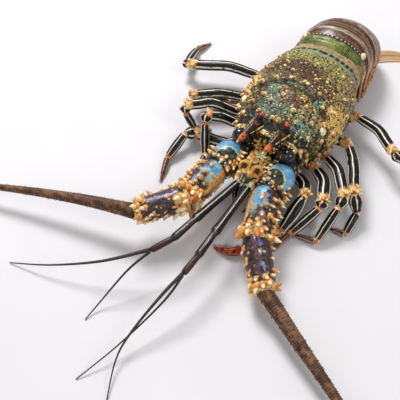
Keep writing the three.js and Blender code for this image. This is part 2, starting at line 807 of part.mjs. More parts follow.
add('carapace', carapace(0), SHELL);
add('belly', belly(0), PALE);
add('mouth', mouth(0), PALE, [bellyRoom]);
add('feeler_plate', plate(0), SEGMENT, [shellRoom, mouthRoom]);

for (const [key, side] of Object.entries(sides)) {
  const feeler = FEELERS[key];
  const eyeRoom = eye(side, GAP);
  const baseRoom = feelerBase(feeler, GAP);
  const middleRoom = feelerMiddle(feeler, GAP);
  const outerRoom = feelerOuter(feeler, GAP);
  add(`eye_${key}`, eye(side, 0), EYE_BLACK, [shellRoom]);
  add(`feeler_${key}_base`, feelerBase(feeler, 0), DARK, [shellRoom, plateRoom, eyeRoom, mouthRoom]);
  add(`feeler_${key}_middle`, feelerMiddle(feeler, 0), SEGMENT, [baseRoom, plateRoom]);
  add(`feeler_${key}_outer`, feelerOuter(feeler, 0), SEGMENT, [middleRoom]);
  add(`feeler_${key}_whip`, feelerWhip(feeler, 0), WHIP, [outerRoom]);

  const small = SMALL_FEELERS[key];
  const stemRoom = smallStem(small, GAP);
  add(`small_feeler_${key}_stem`, smallStem(small, 0), DARK, [plateRoom, baseRoom, middleRoom]);
  add(`small_feeler_${key}_outer`, smallWhip(small, 'outer', 0), WHIP, [stemRoom]);
  const outerWhipRoom = smallWhip(small, 'outer', GAP);
  add(`small_feeler_${key}_inner`, smallWhip(small, 'inner', 0), WHIP, [stemRoom, outerWhipRoom]);

  add(`mouth_leg_${key}`, mouthLeg(side, 0), LEG, [bellyRoom, mouthRoom, baseRoom]);
}

for (const [key, leg] of Object.entries(LEGS)) {
  const upperRoom = legUpper(leg, GAP);
  add(`leg_${key}_upper`, legUpper(leg, 0), LEG, [bellyRoom, shellRoom]);
  add(`leg_${key}_lower`, legLower(leg, 0), LEG, [upperRoom]);
}

for (let i = 0; i < HINGES.length - 1; i += 1) {
  add(`tail_${i + 1}`, tailSegment(i, 0), TAIL, i === 0 ? [shellRoom, bellyRoom] : []);
}

for (const [name, part] of Object.entries(FAN)) {
  add(name, blade(part), TAIL, [tailSegment(5, GAP)]);
}

export default lobster;
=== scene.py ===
import itertools
import math
import random

import bmesh
import bpy
from bpy.props import FloatProperty, FloatVectorProperty, IntProperty, PointerProperty
from bpy.types import Operator, Panel, PropertyGroup
from mathutils import Matrix, Vector, noise


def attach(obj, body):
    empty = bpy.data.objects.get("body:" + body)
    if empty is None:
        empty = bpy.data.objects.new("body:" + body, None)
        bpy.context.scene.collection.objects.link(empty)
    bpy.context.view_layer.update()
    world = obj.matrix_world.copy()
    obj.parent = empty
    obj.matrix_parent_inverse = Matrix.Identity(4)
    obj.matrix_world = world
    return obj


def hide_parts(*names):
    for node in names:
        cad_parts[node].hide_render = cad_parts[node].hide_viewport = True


bl_info = {
    "name": "Pronghorn spiny lobster",
    "version": (1, 0, 0),
    "blender": (4, 5, 0),
    "location": "3D View > Sidebar > Lobster",
    "description": "A life-size pronghorn spiny lobster, built shell by shell around its frame",
    "category": "Object",
}

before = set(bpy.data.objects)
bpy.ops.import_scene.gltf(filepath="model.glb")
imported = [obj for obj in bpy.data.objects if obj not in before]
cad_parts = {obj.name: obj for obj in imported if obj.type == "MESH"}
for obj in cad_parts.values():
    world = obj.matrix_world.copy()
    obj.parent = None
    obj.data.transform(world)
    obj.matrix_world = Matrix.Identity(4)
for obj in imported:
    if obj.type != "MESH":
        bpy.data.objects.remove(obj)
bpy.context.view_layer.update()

# Lengths and places are in millimetres until a piece is settled. The head faces -Y, and +X is its left side.
MM = 0.001
UP = Vector((0, 0, 1))
SIDES = {"R": -1, "L": 1}

# The carapace: its length and rear margin, the height of its lower edge, the share by which that edge is
# tucked in, the edge's turn in degrees from the top line, and the columns and rows of its mesh
CARAPACE_LENGTH = 100
REAR_Y = 51
SHELL_EDGE_Z = 13
SHELL_TUCK = 0.2
SHELL_LAST_TURN = 132
SHELL_GRID = (262, 182)

# Its sections: place in front of the rear margin, half width, top, height of the widest line
SHELL = (
    (0, 28.5, 50, 27),
    (14, 32, 55.5, 28),
    (34, 37.5, 59.5, 29),
    (58, 38.8, 60.5, 30),
    (78, 34, 58, 31),
    (92, 28, 54, 32),
    (100, 23.5, 50, 32),
)

# Rows of spines on each side of the carapace: degrees from its top line, places before the rear margin
SPINE_ROWS = (
    (4, (90, 54, 31)),
    (12, (78, 66, 44)),
    (24, (86, 72, 57, 39)),
    (38, (78, 63, 47, 27)),
    (53, (88, 72, 57, 40, 24)),
    (70, (97, 82, 66, 49, 32)),
    (87, (91, 74, 58, 42, 22)),
    (103, (95, 82, 66, 50)),
)

# Single forms on each side of it: place before the rear margin, degrees from the top line, length, radius
ORANGE_TEETH = ((89, 17, 3.6, 1.9),)
PALE_KNOBS = (
    (75, 60, 1.8, 2.7),
    (59, 49, 1.0, 1.3),
    (61, 99, 1.4, 1.7),
    (41, 24, 0.8, 1.0),
    (52, 8, 0.9, 1.2),
)

# Its soft swellings: their sizes and heights
SWELLINGS = ((9, 0.9), (4, 0.35))

# Where its smooth rear rim ends, the furrow in the rim with its reach, and the beads along it per degree
RIM_END = 17
RIM_FURROW = 11
RIM_REACH = 1.7
BEADS = 0.7

# Its neck groove: place, degrees from the top line where its slant starts, slant per degree, depth, reach
GROOVE_AT = 57
GROOVE_FLAT = 10
GROOVE_SLANT = 0.28
GROOVE_DEPTH = 1.5
GROOVE_REACH = 2.6

# The line on each side behind the groove: degrees from the top line, its reach, depth and front end
LINE_TURN = 24
LINE_REACH = 3
LINE_DEPTH = 0.7
LINE_FRONT = 54

# The degrees in one unit of the turn that the section attribute holds
TURN_UNIT = 57.3

# Numbers of spines of the face and on the front rim, and the steps of that rim
FACE_SPINES = 130
BROW_SPINES = 26
BROW_STEPS = 40

# The body under the shell, near-black to stand in for the shade in the hollows round it: place, half width
# and half height of its stops
CORE = (
    ((0, 47, 30), 22, 15),
    ((0, 30, 33), 31, 21),
    ((0, 0, 34), 34, 22),
    ((0, -25, 35), 28, 19),
    ((0, -43, 36), 21, 13.5),
    ((0, -48.5, 36), 15.5, 11.5),
    ((0, -50, 36), 10, 7),
)

# Coloured patches: place before the rear margin, degrees from the top line with + to the left, their reaches,
# and the colour, or the share of teal
SHELL_PATCHES = (
    (24, 0, 13, 84, "a79f58"),
    (38, 58, 30, 36, "b89c5c"),
    (38, -62, 34, 32, "a07a44"),
    (17, 84, 18, 28, "d98f42"),
    (40, -12, 15, 36, "5a3b20"),
    (48, 24, 10, 20, "6b4c24"),
    (62, -62, 18, 30, "9c8c50"),
    (76, 30, 16, 40, "9a9266"),
    (79, -8, 18, 34, "587558"),
    (72, 3, 9, 18, "705030"),
    (67, 22, 8, 14, "b58d50"),
    (98, 40, 16, 90, "0f130d"),
    (96, -40, 17, 70, "11160d"),
)
TEAL_PATCHES = (
    (65, -19, 6, 12, 1),
    (62.5, 31, 6, 10, 1),
    (86, -16, 9, 16, 0.6),
    (86, 40, 11, 36, 0.85),
    (80, 8, 9, 14, 0.5),
    (57, 6, 4.5, 30, 0.45),
)

# The horns: x, radius, and root, middle and tip by (y, z); then the steps of their ridges, and the ridges'
# degrees from the top line
HORN = {"x": 9.5, "base": 4.8, "root": (-38, 47), "middle": (-60, 56.5), "tip": (-75, 62)}
RIDGE_STEPS = 21
RIDGE_TILTS = (-74, 66)

# The eyes, and the cup at the end of their stalks: place behind the eye's centre, half width and half height
EYE = {"x": 18.5, "y": -52, "z": 41}
EYE_CUP = ((4.6, 3.6, 3.4), (3.6, 5.3, 4.9), (2.2, 5.75, 5.3), (1.2, 5.6, 5.15), (1.0, 4.6, 4.2))

# The plate between the feelers, and the number of its small spines
PLATE = {"half": 6.6, "top": 36, "bottom": 19, "back": -49, "front": -77}
PLATE_SPINES = 80

# The feelers: root, ends of the three broad segments, the line of the whip and how fast it thins
FEELERS = {
    "R": {
        "joints": ((-17, -48, 27), (-23.5, -78.5, 28), (-27, -110.5, 30), (-50.5, -135, 26.5)),
        "whip": ((-95, -145, 22), (-150, -161, 15), (-215, -186, 8), (-275, -214, 3), (-322, -238, 0.6)),
        "taper": 1.9,
    },
    "L": {
        "joints": ((17, -48, 27), (17.5, -78, 27.5), (26, -109.5, 20.5), (48.5, -138.5, 15.5)),
        "whip": ((84, -159, 13.5), (118, -178, 11), (170, -209, 7), (222, -249, 3), (258, -292, 0.6)),
        "taper": 1.25,
    },
}

# The dome on the base segment of each: its centre and half sizes, the number of its spines and their seed
DOME = {"x": 20.5, "y": -65, "z": 32.5, "size": (10.2, 10.7, 8.4)}
DOME_SPINES = 15
DOME_SEED = 7

# The segments. A size is the share of the length, half width and half height; swell is the size and
# height of the swellings; a row of spines is its shares of the length, turns, reach, lean, length and radius.
SEGMENTS = {
    "base": {
        "sizes": ((0, 10, 8.5), (0.3, 11.5, 10.5), (0.65, 12, 11), (0.86, 11.4, 10.4), (0.93, 10.4, 9.4),
                  (0.9, 8.5, 7.8)),
        "capped": False, "sides": 24, "swell": (4, 0.9), "seed": 3,
        "spines": (((0.7, 0.86), (-56, -32, -8, 16, 42, 78, 112, 148, 184), 10.8, 52, 5.0, 1.7),),
    },
    "middle": {
        "sizes": ((0, 9.6, 9), (0.25, 11, 10.2), (0.7, 10.6, 9.6), (0.96, 11, 10)),
        "capped": True, "sides": 24, "swell": (3, 0.7), "seed": 5,
        "spines": (
            ((0.92,), range(-112, 240, 25), 9.8, 48, 7.0, 2.6),
            ((0.82,), range(-100, 236, 31), 9.9, 58, 5.2, 2.1),
            ((0.72,), range(-88, 120, 38), 9.9, 62, 3.6, 1.6),
            ((0.16, 0.36, 0.56), (-52, -26, 0, 24, 52, 90, 196), 10.2, 52, 4.4, 1.7),
        ),
    },
    "outer": {
        "sizes": ((0, 8.4, 8), (0.25, 9.6, 9), (0.7, 8.8, 8.2), (0.96, 8.2, 7.6)),
        "capped": True, "sides": 22, "swell": (3, 0.6), "seed": 13,
        "spines": (
            ((0.93,), range(-100, 250, 32), 7.7, 40, 5.6, 2.1),
            ((0.8,), range(-88, 250, 42), 8.2, 52, 4.4, 1.9),
            ((0.2, 0.42, 0.66), (-30, -2, 22, 160, 190, 216), 8.6, 50, 4.0, 1.6),
            ((0.35,), (96,), 8.4, 50, 2.6, 1.3),
        ),
    },
}

# A thick cluster of spines on the right feeler's outer segment, as a row like those above
RIGHT_CLUSTER = (((0.0, 0.1, 0.2), (112, 140, 168, 196, 224), 8.2, 62, 6.0, 2.6),)

# The whips: their radius at the tip and what it gains to the root, the stops of one ring by share and
# swelling, their sides, and the number of their spines
WHIP_TIP = 0.5
WHIP_GAIN = 5
WHIP_RING = ((0.0, -0.04), (0.35, 0.03), (0.75, 0.03))
WHIP_SIDES = 12
WHIP_SPINES = 300

# The small feelers: the joints of the stem, and the lines of its two whips
SMALL_FEELERS = {
    "R": {
        "stem": ((-3.8, -77.8, 27), (-12.3, -122.7, 31), (-17.1, -141.3, 29), (-26, -155.6, 26)),
        "outer": ((-51.6, -174.4, 18), (-82.7, -190.3, 9), (-112, -200, 0.6)),
        "inner": ((-33, -171.7, 19), (-40.5, -194.2, 5), (-43, -208, 0.6)),
    },
    "L": {
        "stem": ((3.8, -77.8, 27), (4.1, -125.3, 31), (3.2, -144.9, 29), (1.5, -160, 27)),
        "outer": ((-3.3, -178.2, 23), (-9, -205.4, 12), (-8.3, -223.3, 6), (1, -247, 0.6)),
        "inner": ((-1.5, -178.6, 18), (-11.5, -212, 9), (-24, -243, 0.6)),
    },
}

# Share, half width and half height along each segment of their stems
STEM = (
    ((0, 2.6, 2.4), (0.08, 2.9, 2.6), (0.5, 2.8, 2.5), (0.88, 3.0, 2.7), (0.95, 3.6, 3.3), (0.99, 3.2, 2.9)),
    ((0.05, 2.2, 2.0), (0.2, 2.6, 2.3), (0.8, 2.7, 2.5), (0.93, 3.1, 2.8)),
    ((0.03, 2.0, 1.8), (0.2, 2.3, 2.1), (0.85, 2.5, 2.3), (1, 2.0, 1.8)),
)

# Their whips: name, radius at the root and how far up they start; then the radius at the tip and the steps
BRANCHES = (("outer", 1.5, 1.2), ("inner", 1.1, -1.2))
THIN_TIP = 0.4
THIN_STEPS = 89

# The legs: width, then hip, end of the first segments, bow and knee, then wrist, ankle and tip
LEGS = {
    "R1": (4.6, ((-11, -32, 7), (-28, -36, 7.5), (-46, -38.5, 6), (-61, -42.5, 10)),
           ((-66, -49, 11.5), (-68.5, -70, 4), (-62, -90, 0.8))),
    "R2": (4.4, ((-13, -20, 8), (-32, -22, 15), (-46, -27.5, 22), (-56, -32.5, 23)),
           ((-55, -38, 20), (-45.5, -54, 5), (-44, -73, 0.8))),
    "R3": (4.2, ((-16, -7, 8), (-36, -12.5, 16), (-58, -22, 26), (-73.5, -35.5, 26.5)),
           ((-72, -38, 22), (-66.5, -34, 4), (-56, -27, 0.8))),
    "R4": (4.0, ((-19, 9, 8), (-37, 7, 15), (-60, -5, 20), (-79, -18, 19.5)),
           ((-79, -10.5, 13), (-58, 4, 4.5), (-42, 12, 0.8))),
    "R5": (4.4, ((-21, 27, 8), (-42, 31.5, 15), (-70, 26, 18), (-100, 13, 16)),
           ((-105, 18, 12), (-111, 42, 4), (-106, 58, 0.8))),
    "L1": (4.6, ((11, -32, 8), (24, -42, 13), (34, -52, 19), (38.5, -60.5, 21)),
           ((35.2, -89, 8.5), (19, -111, 3.8), (-1, -118, 0.8))),
    "L2": (4.5, ((13, -20, 8), (34, -32.5, 17), (45.5, -45, 23), (52, -60.5, 22.5)),
           ((52, -64.5, 20), (41, -84.5, 5.5), (35.5, -101, 0.8))),
    "L3": (4.2, ((16, -7, 8), (36, -19.5, 18), (50, -32.5, 25), (62.5, -50, 24)),
           ((62.5, -57.5, 19.5), (58.5, -80.5, 4), (39, -82, 0.8))),
    "L4": (4.2, ((19, 9, 8), (46, -4, 22), (57, -22, 25), (67, -42, 21)),
           ((74, -48.5, 10.5), (73, -64, 3), (61.5, -63.5, 0.8))),
    "L5": (4.0, ((21, 27, 8), (40, 29, 17), (60, 17, 25), (77, 2, 26)),
           ((84, 1, 22), (101, 8, 4.5), (109, 19, 0.8))),
}

# Share, half width and half height along their segments: in millimetres, then in widths of the leg
HIP_SIZES = ((0, 5, 4.6), (0.5, 4.7, 4.3), (0.86, 4.3, 3.9), (0.95, 4.4, 4.0))
NECK_SIZES = ((0.02, 3.1, 2.8), (0.12, 3.6, 3.2))
THIGH_SIZES = ((0.45, 1, 0.82), (1, 1.04, 0.86))
KNEE_SIZES = ((0.45, 1.06, 0.88), (0.8, 1.0, 0.86), (0.94, 1.06, 0.92), (1, 0.86, 0.76))
SHIN_SIZES = ((0, 0.5, 0.46), (0.08, 0.74, 0.64), (0.45, 1.22, 0.94), (0.84, 0.78, 0.7), (0.97, 0.7, 0.64),
              (1, 0.5, 0.46))
ANKLE_SIZES = ((0, 0.56, 0.5), (0.1, 0.72, 0.64), (0.5, 0.84, 0.76), (0.88, 0.68, 0.6), (0.97, 0.62, 0.56),
               (1, 0.42, 0.4))

# The girth, sweep and warmth of the thick red claw of the left front leg; then the bristles on each claw and
# on the shaft behind it
RED_CLAW = (1.45, (2, -3.4, 0.5), 1.6)
CLAW_BRISTLES = 150
SHAFT_BRISTLES = 40

# The mouth parts as stops, and a folded limb in front of them: x, y, z, half width and half height
MOUTH = (((0, -41.5, 8), 8, 4.4), ((0, -50, 8.5), 9.5, 4.8), ((0, -60, 9), 8, 4.2), ((0, -66, 10), 4.5, 2.6))
MOUTH_LEG = (
    (8, -41.5, 4.2, 3, 2.8),
    (10, -50, 3.4, 3.4, 2.8),
    (10.5, -62, 3.4, 3, 2.6),
    (9.5, -72, 4.2, 2.4, 2.2),
    (6.5, -78.5, 4.8, 2, 1.9),
    (3.5, -84, 3.2, 0.6, 0.6),
)

# The bristles of that limb: first and last of its stops, its half width, their length, number and spread
MOUTH_BRISTLES = ((2, 4, 2.2, 2.4, 90, 0.6), (4, 5, 1.6, 2.2, 60, 0.5))

# The breast plate: y, half width above and at the floor; its height, and the distance of its ridges
BELLY = ((-41, 9, 5), (-28, 12.5, 8), (-8, 17.5, 12), (14, 22, 15), (34, 23.5, 16), (48, 17, 11))
BELLY_TOP = 12.7
BELLY_RIDGE = 7

# The abdomen: each hinge by its back (y, z), its underside (y, z), its half width and its sidestep
HINGES = (
    ((51.9, 48), (52.6, 12), 28.5, 0),
    ((63.5, 51), (58, 13), 29.5, 0),
    ((82, 49.5), (65, 15), 29.5, 0.5),
    ((99, 41.5), (71.5, 15.5), 28.5, 1.5),
    ((110.5, 27.5), (79, 14), 26.5, 3),
    ((113.5, 13), (86.5, 12), 23.5, 4.5),
    ((103, 0.4), (90.5, 7.5), 17.5, 6),
)

# The lobes at the sides of its plates, the turn of their lower edge in degrees from the top line, and the
# columns and rows of their meshes
LOBE = {"out": 6.5, "down": 7.5}
TAIL_LAST_TURN = 118
TAIL_GRID = (96, 26)

# In shares of a plate's length: where the first and the others start, where all end, and the furrow across
# them with its reach; then the furrow's depth
PLATE_STARTS = (0.02, -0.06)
PLATE_END = 0.99
FURROW_AT = 0.46
FURROW_REACH = 0.05
FURROW_DEPTH = 0.55

# The tail fan: root, heading from +Y towards +X in degrees, length and half width
FAN = {
    "telson": ((6, 102, 0.9), 183, 47, 12.5),
    "uropod_R_inner": ((-2, 98, 3), 198, 40, 9.5),
    "uropod_R_outer": ((-9, 94, 5.2), 216, 35, 9.5),
    "uropod_L_inner": ((16, 98, 3), 168, 39, 9.5),
    "uropod_L_outer": ((13, 101, 0.9), 56, 50, 6.8),
}

# The outlines of a broad and a slim blade as share of the length and of the half width, how far the slim one
# bends, and the columns, rows and thickness of their meshes
BLADE_OUTLINE = ((0, 0.5), (0.15, 0.72), (0.45, 0.95), (0.75, 1), (0.92, 0.86), (1, 0.45))
SLIM_OUTLINE = ((0, 0.6), (0.25, 0.9), (0.6, 0.95), (0.85, 0.62), (1, 0.24))
SLIM_BOW = -8
BLADE_GRID = (56, 44)
BLADE_THICKNESS = 1.0

# Spines and bristles: the heights and radii along them
SPINE_PROFILE = (
    (-0.35, 1.1),
    (0.0, 1.22),
    (0.1, 1.16),
    (0.16, 0.96),
    (0.3, 0.84),
    (0.58, 0.6),
    (0.82, 0.3),
    (0.95, 0.12),
    (1, 0.02),
)
GREAT_PROFILE = ((-0.3, 1.05), (0, 1.12), (0.3, 1.08), (0.48, 0.98), (0.6, 0.84), (0.68, 0.5), (0.82, 0.3),
                 (1, 0.08))
KNOB_PROFILE = ((-0.4, 1.1), (0, 1.15), (0.35, 1.05), (0.7, 0.8), (0.93, 0.42), (1, 0.1))
BRISTLE_PROFILE = ((-0.1, 1), (0.4, 0.8), (0.8, 0.4), (1, 0.1))

# How far they stay from the floor
FLOOR_GAP = 0.15

# The view: the way to the camera, its distance, the point that it looks at, and the lens
VIEW = {"azimuth": 31, "elevation": 54, "distance": 505, "target": (-29, -88.5, 0), "lens": 63}

# The stage: the lights by place and size in metres and power in watts, the floor, and the light all round
LIGHTS = (
    ((-0.55, 0.35, 0.95), 0.36, 11.5),
    ((0.75, -0.2, 0.8), 0.4, 2.2),
    ((-0.1, -0.9, 0.7), 0.8, 1.5),
)
FLOOR_SIZE = 16
AROUND_COLOUR = (1, 0.985, 0.96, 1)
AROUND_STRENGTH = 0.42


def tint(code):
    """A colour from its hexadecimal code, as linear red, green and blue."""
    values = [int(code[i:i + 2], 16) / 255 for i in (0, 2, 4)]
    return tuple(v / 12.92 if v < 0.04045 else ((v + 0.055) / 1.055) ** 2.4 for v in values)


def colour_property(name, description, code):
    return FloatVectorProperty(name=name, description=description, subtype="COLOR", size=3,
                               min=0, max=1, default=tint(code))


def length_property(name, description, millimetres):
    return FloatProperty(name=name, description=description, unit="LENGTH", subtype="DISTANCE",
                         min=0, default=millimetres * MM)


class ShellSettings(PropertyGroup):
    """Sizes and colours of the carapace, its spines and the eyes"""

    grain_height: length_property("Grain height", "How far the grains stand out of the shell", 0.42)
    grain_size: length_property("Grain size", "Distance from one grain to the next", 1.65)
    plate_thickness: length_property("Plate thickness", "Thickness of the shell", 1.1)
    spine_shortest: length_property("Shortest spine", "Length of the spines near the rear margin", 2.4)
    spine_longest: length_property("Longest spine", "Length of the spines near the head", 6.2)
    spine_radius: length_property("Spine radius", "Radius of the largest spines at their root", 1.8)
    small_spines: IntProperty(name="Small spines", description="Number of the small spines",
                              min=0, default=300)
    eye_radius: length_property("Eye radius", "Radius of the eyes", 5.6)
    olive: colour_property("Olive", "Ground colour of the shell", "877a40")
    brown: colour_property("Brown", "Brown clouds on the shell", "6e4a2c")
    grain: colour_property("Grain", "Colour of the grains", "e6d08c")
    pit: colour_property("Pit", "Colour between the grains", "100f0b")
    teal: colour_property("Teal", "Blue-green patches on the front half", "74b09c")
    cream: colour_property("Cream", "Pale rings of the spines", "f0dc9c")
    orange: colour_property("Orange", "Tips of the large spines", "efcd84")
    horn: colour_property("Horn", "Shafts of the horns", "2c1717")
    eye: colour_property("Eye", "The glossy dark of the eyes", "08060c")


class FeelerSettings(PropertyGroup):
    """Sizes and colours of the feelers"""

    ring_spacing: length_property("Ring spacing", "Distance between the rings of a whip at its root", 2.1)
    purple: colour_property("Purple", "Ground colour of the broad segments", "3a2334")
    blue: colour_property("Blue", "Blue patches of the broad segments", "4f93c4")
    orange: colour_property("Orange", "Orange edges of the broad segments", "dc8330")
    whip: colour_property("Whip", "Colour of the long whips", "69462f")
    stem: colour_property("Stem", "Dark of the small feelers", "0c0b0b")


class LegSettings(PropertyGroup):
    """Sizes and colours of the legs"""

    bristle_length: length_property("Bristle length", "Length of the bristles on the claws", 2.6)
    black: colour_property("Black", "Ground colour of the legs", "080706")
    line: colour_property("Line", "Pale lines along the legs", "f7f0dc")
    joint: colour_property("Joint", "Orange of the knees and hips", "d08444")
    claw: colour_property("Claw", "Red-brown of the claws", "7c4228")
    belly: colour_property("Belly", "Pale underside", "b09a72")


class TailSettings(PropertyGroup):
    """Sizes and colours of the abdomen and the tail fan"""

    plate_thickness: length_property("Plate thickness", "Thickness of the tail plates", 0.9)
    moss: colour_property("Moss", "Green of the first plate", "6e7c36")
    brown: colour_property("Brown", "Brown of the other plates", "744a34")
    band: colour_property("Band", "Grey-tan cross bands", "a8977a")
    edge: colour_property("Edge", "Pale edges of the plates", "e8c98c")
    fan: colour_property("Fan", "Orange-tan of the fan", "d9ad74")
    vein: colour_property("Vein", "Brown lines of the fan", "5f3a22")


class Wire:
    """A socket of a shader, on which maths is written as an expression."""

    def __init__(self, paint, socket):
        self.paint = paint
        self.socket = socket

    def reckon(self, operation, *values):
        return self.paint.node("ShaderNodeMath", {"operation": operation}, dict(enumerate(values)))

    def __add__(self, other):
        return self.reckon("ADD", self, other)

    __radd__ = __add__

    def __sub__(self, other):
        return self.reckon("SUBTRACT", self, other)

    def __rsub__(self, other):
        return self.reckon("SUBTRACT", other, self)

    def __mul__(self, other):
        return self.reckon("MULTIPLY", self, other)

    __rmul__ = __mul__

    def __truediv__(self, other):
        return self.reckon("DIVIDE", self, other)

    def sine(self):
        return self.reckon("SINE", self)

    def size(self):
        return self.reckon("ABSOLUTE", self)

    def most(self, other):
        return self.reckon("MAXIMUM", self, other)

    def rise(self, low, high):
        """0 up to low and 1 from high, with a smooth rise between them; high may be the lower one."""
        return self.paint.node("ShaderNodeMapRange", {"interpolation_type": "SMOOTHSTEP"},
                               {"Value": self, "From Min": low, "From Max": high})

    def near(self, middle, reach):
        """1 at a value, falling smoothly to 0 at reach from it."""
        return (self - middle).size().rise(reach, 0)

    def sway(self, amount):
        """A cloud as an offset to both sides of 0."""
        return (self - 0.5) * amount

    def parts(self):
        split = self.paint.node("ShaderNodeSeparateXYZ", {}, {"Vector": self}).socket.node
        return [Wire(self.paint, output) for output in split.outputs]


class Paint:
    """A material with one shader, and the one method that adds any other node to it."""

    def __init__(self, name, **fixed):
        self.material = bpy.data.materials.new(name)
        self.material.use_nodes = True
        self.tree = self.material.node_tree
        self.shader = self.tree.nodes["Principled BSDF"]
        for key, value in fixed.items():
            self.shader.inputs[key.replace("_", " ")].default_value = value
        self.place = self.node("ShaderNodeTexCoord", output="Object")

    def node(self, kind, settings=None, inputs=None, output=0):
        node = self.tree.nodes.new(kind)
        for key, value in (settings or {}).items():
            setattr(node, key, value)
        for key, value in (inputs or {}).items():
            self.feed(node.inputs[key], value)
        return Wire(self, node.outputs[output])

    def feed(self, socket, value):
        """Links or sets a socket. A colour may be given by its hexadecimal code."""
        if isinstance(value, Wire):
            self.tree.links.new(value.socket, socket)
        elif isinstance(value, str):
            socket.default_value = (*tint(value), 1)
        elif hasattr(value, "__len__") and socket.type == "RGBA":
            socket.default_value = (*value, 1)
        else:
            socket.default_value = value

    def section(self):
        """Where a point lies on its piece: across, up and along."""
        return self.node("ShaderNodeAttribute", {"attribute_name": "section"}, output="Vector").parts()

    def value(self, attribute):
        return self.node("ShaderNodeAttribute", {"attribute_name": attribute}, output="Fac")

    def clouds(self, millimetres, detail):
        return self.node("ShaderNodeTexNoise", {}, {
            "Vector": self.place, "Scale": 1 / (millimetres * MM), "Detail": detail})

    def cells(self, millimetres):
        """How far a point is from the middle of its cell."""
        return self.node("ShaderNodeTexVoronoi", {"feature": "F1"}, {
            "Vector": self.place, "Scale": 1 / (millimetres * MM)})

    def pebbles(self, millimetres):
        """How far a point lies inside its round grain, and a random number for each grain."""
        away = self.cells(millimetres)
        tone = Wire(self, away.socket.node.outputs["Color"]).parts()[0]
        return 0.72 - away - (tone * 7).sine() * 0.05, tone

    def layers(self, colour, *rows):
        """A colour with others laid over it in turn, each by its share."""
        for other, share in rows:
            mixed = {0: share, 6: colour, 7: other}
            colour = self.node("ShaderNodeMix", {"data_type": "RGBA"}, mixed, output=2)
        return colour

    def finish(self, colour, roughness, height=None, depth=0.3, coat=None):
        """Connects the shader; depth is the height of the bumps in millimetres."""
        self.feed(self.shader.inputs["Base Color"], colour)
        self.feed(self.shader.inputs["Roughness"], roughness)
        if coat is not None:
            self.feed(self.shader.inputs["Coat Weight"], coat)
        if height is not None:
            normal = self.node("ShaderNodeBump", {}, {"Height": height, "Distance": depth * MM})
            self.feed(self.shader.inputs["Normal"], normal)
        return self.material


def shell_paint(settings):
    """Olive and brown shell with patches, closely set with grains of many tones, dark between them."""
    paint = Paint("carapace shell", Specular_IOR_Level=0.35, Coat_Roughness=0.2)
    around, ahead, side = paint.section()
    turned = around * TURN_UNIT
    relief = paint.value("grain")
    edge, tone = paint.pebbles(settings.grain_size / MM * 0.88)
    cloud = paint.clouds(17, 4)
    patch = paint.clouds(7, 3)

    def patch_at(at, turn, reach, spread, ragged):
        return ahead.near(at, reach) * turned.near(turn, spread) + patch.sway(ragged)

    teal = 0
    for *where, share in TEAL_PATCHES:
        teal = (patch_at(*where, 0.7).rise(0.3, 0.45) * share).most(teal)
    yellow = ahead.near(63, 20) * turned.size().near(66, 34)
    pale_grains = (tone + patch * 0.08 + yellow * 0.04 + ahead.rise(60, 90) * -0.02).rise(0.93, 0.97)
    stone = paint.layers(
        settings.brown,
        (settings.olive, (cloud + ahead.rise(44, 16) * 0.3).rise(0.46, 0.6)),
        *((code, patch_at(*where, 0.9).rise(0.2, 0.38) * 0.9) for *where, code in SHELL_PATCHES),
        (paint.layers("7f9b76", (settings.teal, teal.rise(0.6, 1))), teal * 0.9),
        ("fac86c", yellow.rise(0.1, 0.3) * patch.rise(0.22, 0.34)),
        (settings.grain, pale_grains * 0.85),
    )
    grains = paint.layers(
        paint.layers(settings.pit, (stone, 0.28)),
        (stone, (tone * 1.3 + relief * 0.4 + yellow * 0.8).rise(0.05, 0.62)),
        ("7c3a20", tone.near(0.36, 0.08) * cloud.rise(0.38, 0.52) * 0.85),
    )
    inside = edge + relief * 0.06 - ahead.rise(84, 94) * 0.07 + yellow * 0.1
    spots = paint.cells(2.6).rise(0.4, 0.3) * (paint.clouds(9, 2) + yellow * 0.3).rise(0.34, 0.44)
    groove = (ahead - (side - GROOVE_FLAT).most(0) * GROOVE_SLANT).near(GROOVE_AT + 0.2, 6)
    beads = (side * BEADS).sine().rise(-0.6, 0.1)
    rim = paint.layers(
        "8d9c72",
        ("b39a6c", ahead.rise(9.2, 8.2)),
        ("0b110c", ahead.near(RIM_FURROW, 3).rise(0.05, 0.45) * (0.35 + beads * 0.65)),
        ("4c4028", paint.clouds(2.5, 4).rise(0.48, 0.6) * 0.6),
    )
    colour = paint.layers(
        settings.pit,
        (grains, inside.rise(0.05, 0.17)),
        (settings.pit, spots * (0.55 + side.rise(30, 70) * 0.4)),
        ("0a120e", groove.rise(0.1, 0.6) * patch.rise(0.32, 0.46) * (1 - teal * 0.9) * 0.85),
        (rim, (ahead + patch.sway(3)).rise(RIM_END + 0.8, RIM_END - 0.6)),
    )
    height = edge.rise(0, 0.45) + paint.clouds(0.6, 2) * 0.3
    return paint.finish(colour, 0.38 + tone * 0.22, height, 0.4, coat=0.1 + relief * 0.15)


def spine_paint(name, collar, ring, tip, root, tip_from, plain=0.25, band=0.14):
    """A spine with a pale collar, a ring before its tip and a coloured tip, each a little different.
    Plain is the share of the spines with no tip colour, and band the reach of the ring."""
    paint = Paint(name, Coat_Roughness=0.15, Specular_IOR_Level=0.4)
    reach = paint.section()[2]
    tone = paint.value("tone")
    grain = paint.clouds(1.6, 3)
    worn = reach + grain.sway(0.22)
    colour = paint.layers(
        root,
        (paint.layers(collar, (ring, tone.rise(0.4, 0.95) * 0.6)), worn.rise(0.1, 0.24)),
        ("c79a4e", grain.rise(0.52, 0.64) * 0.5),
        (ring, worn.near(tip_from, band).rise(0, 0.6) * 0.9),
        (paint.layers(ring, (tip, tone.rise(plain - 0.15, plain + 0.15))),
         worn.rise(tip_from, tip_from + 0.12)),
    )
    return paint.finish(colour, 0.32 + grain * 0.2, grain, 0.15, coat=0.3)


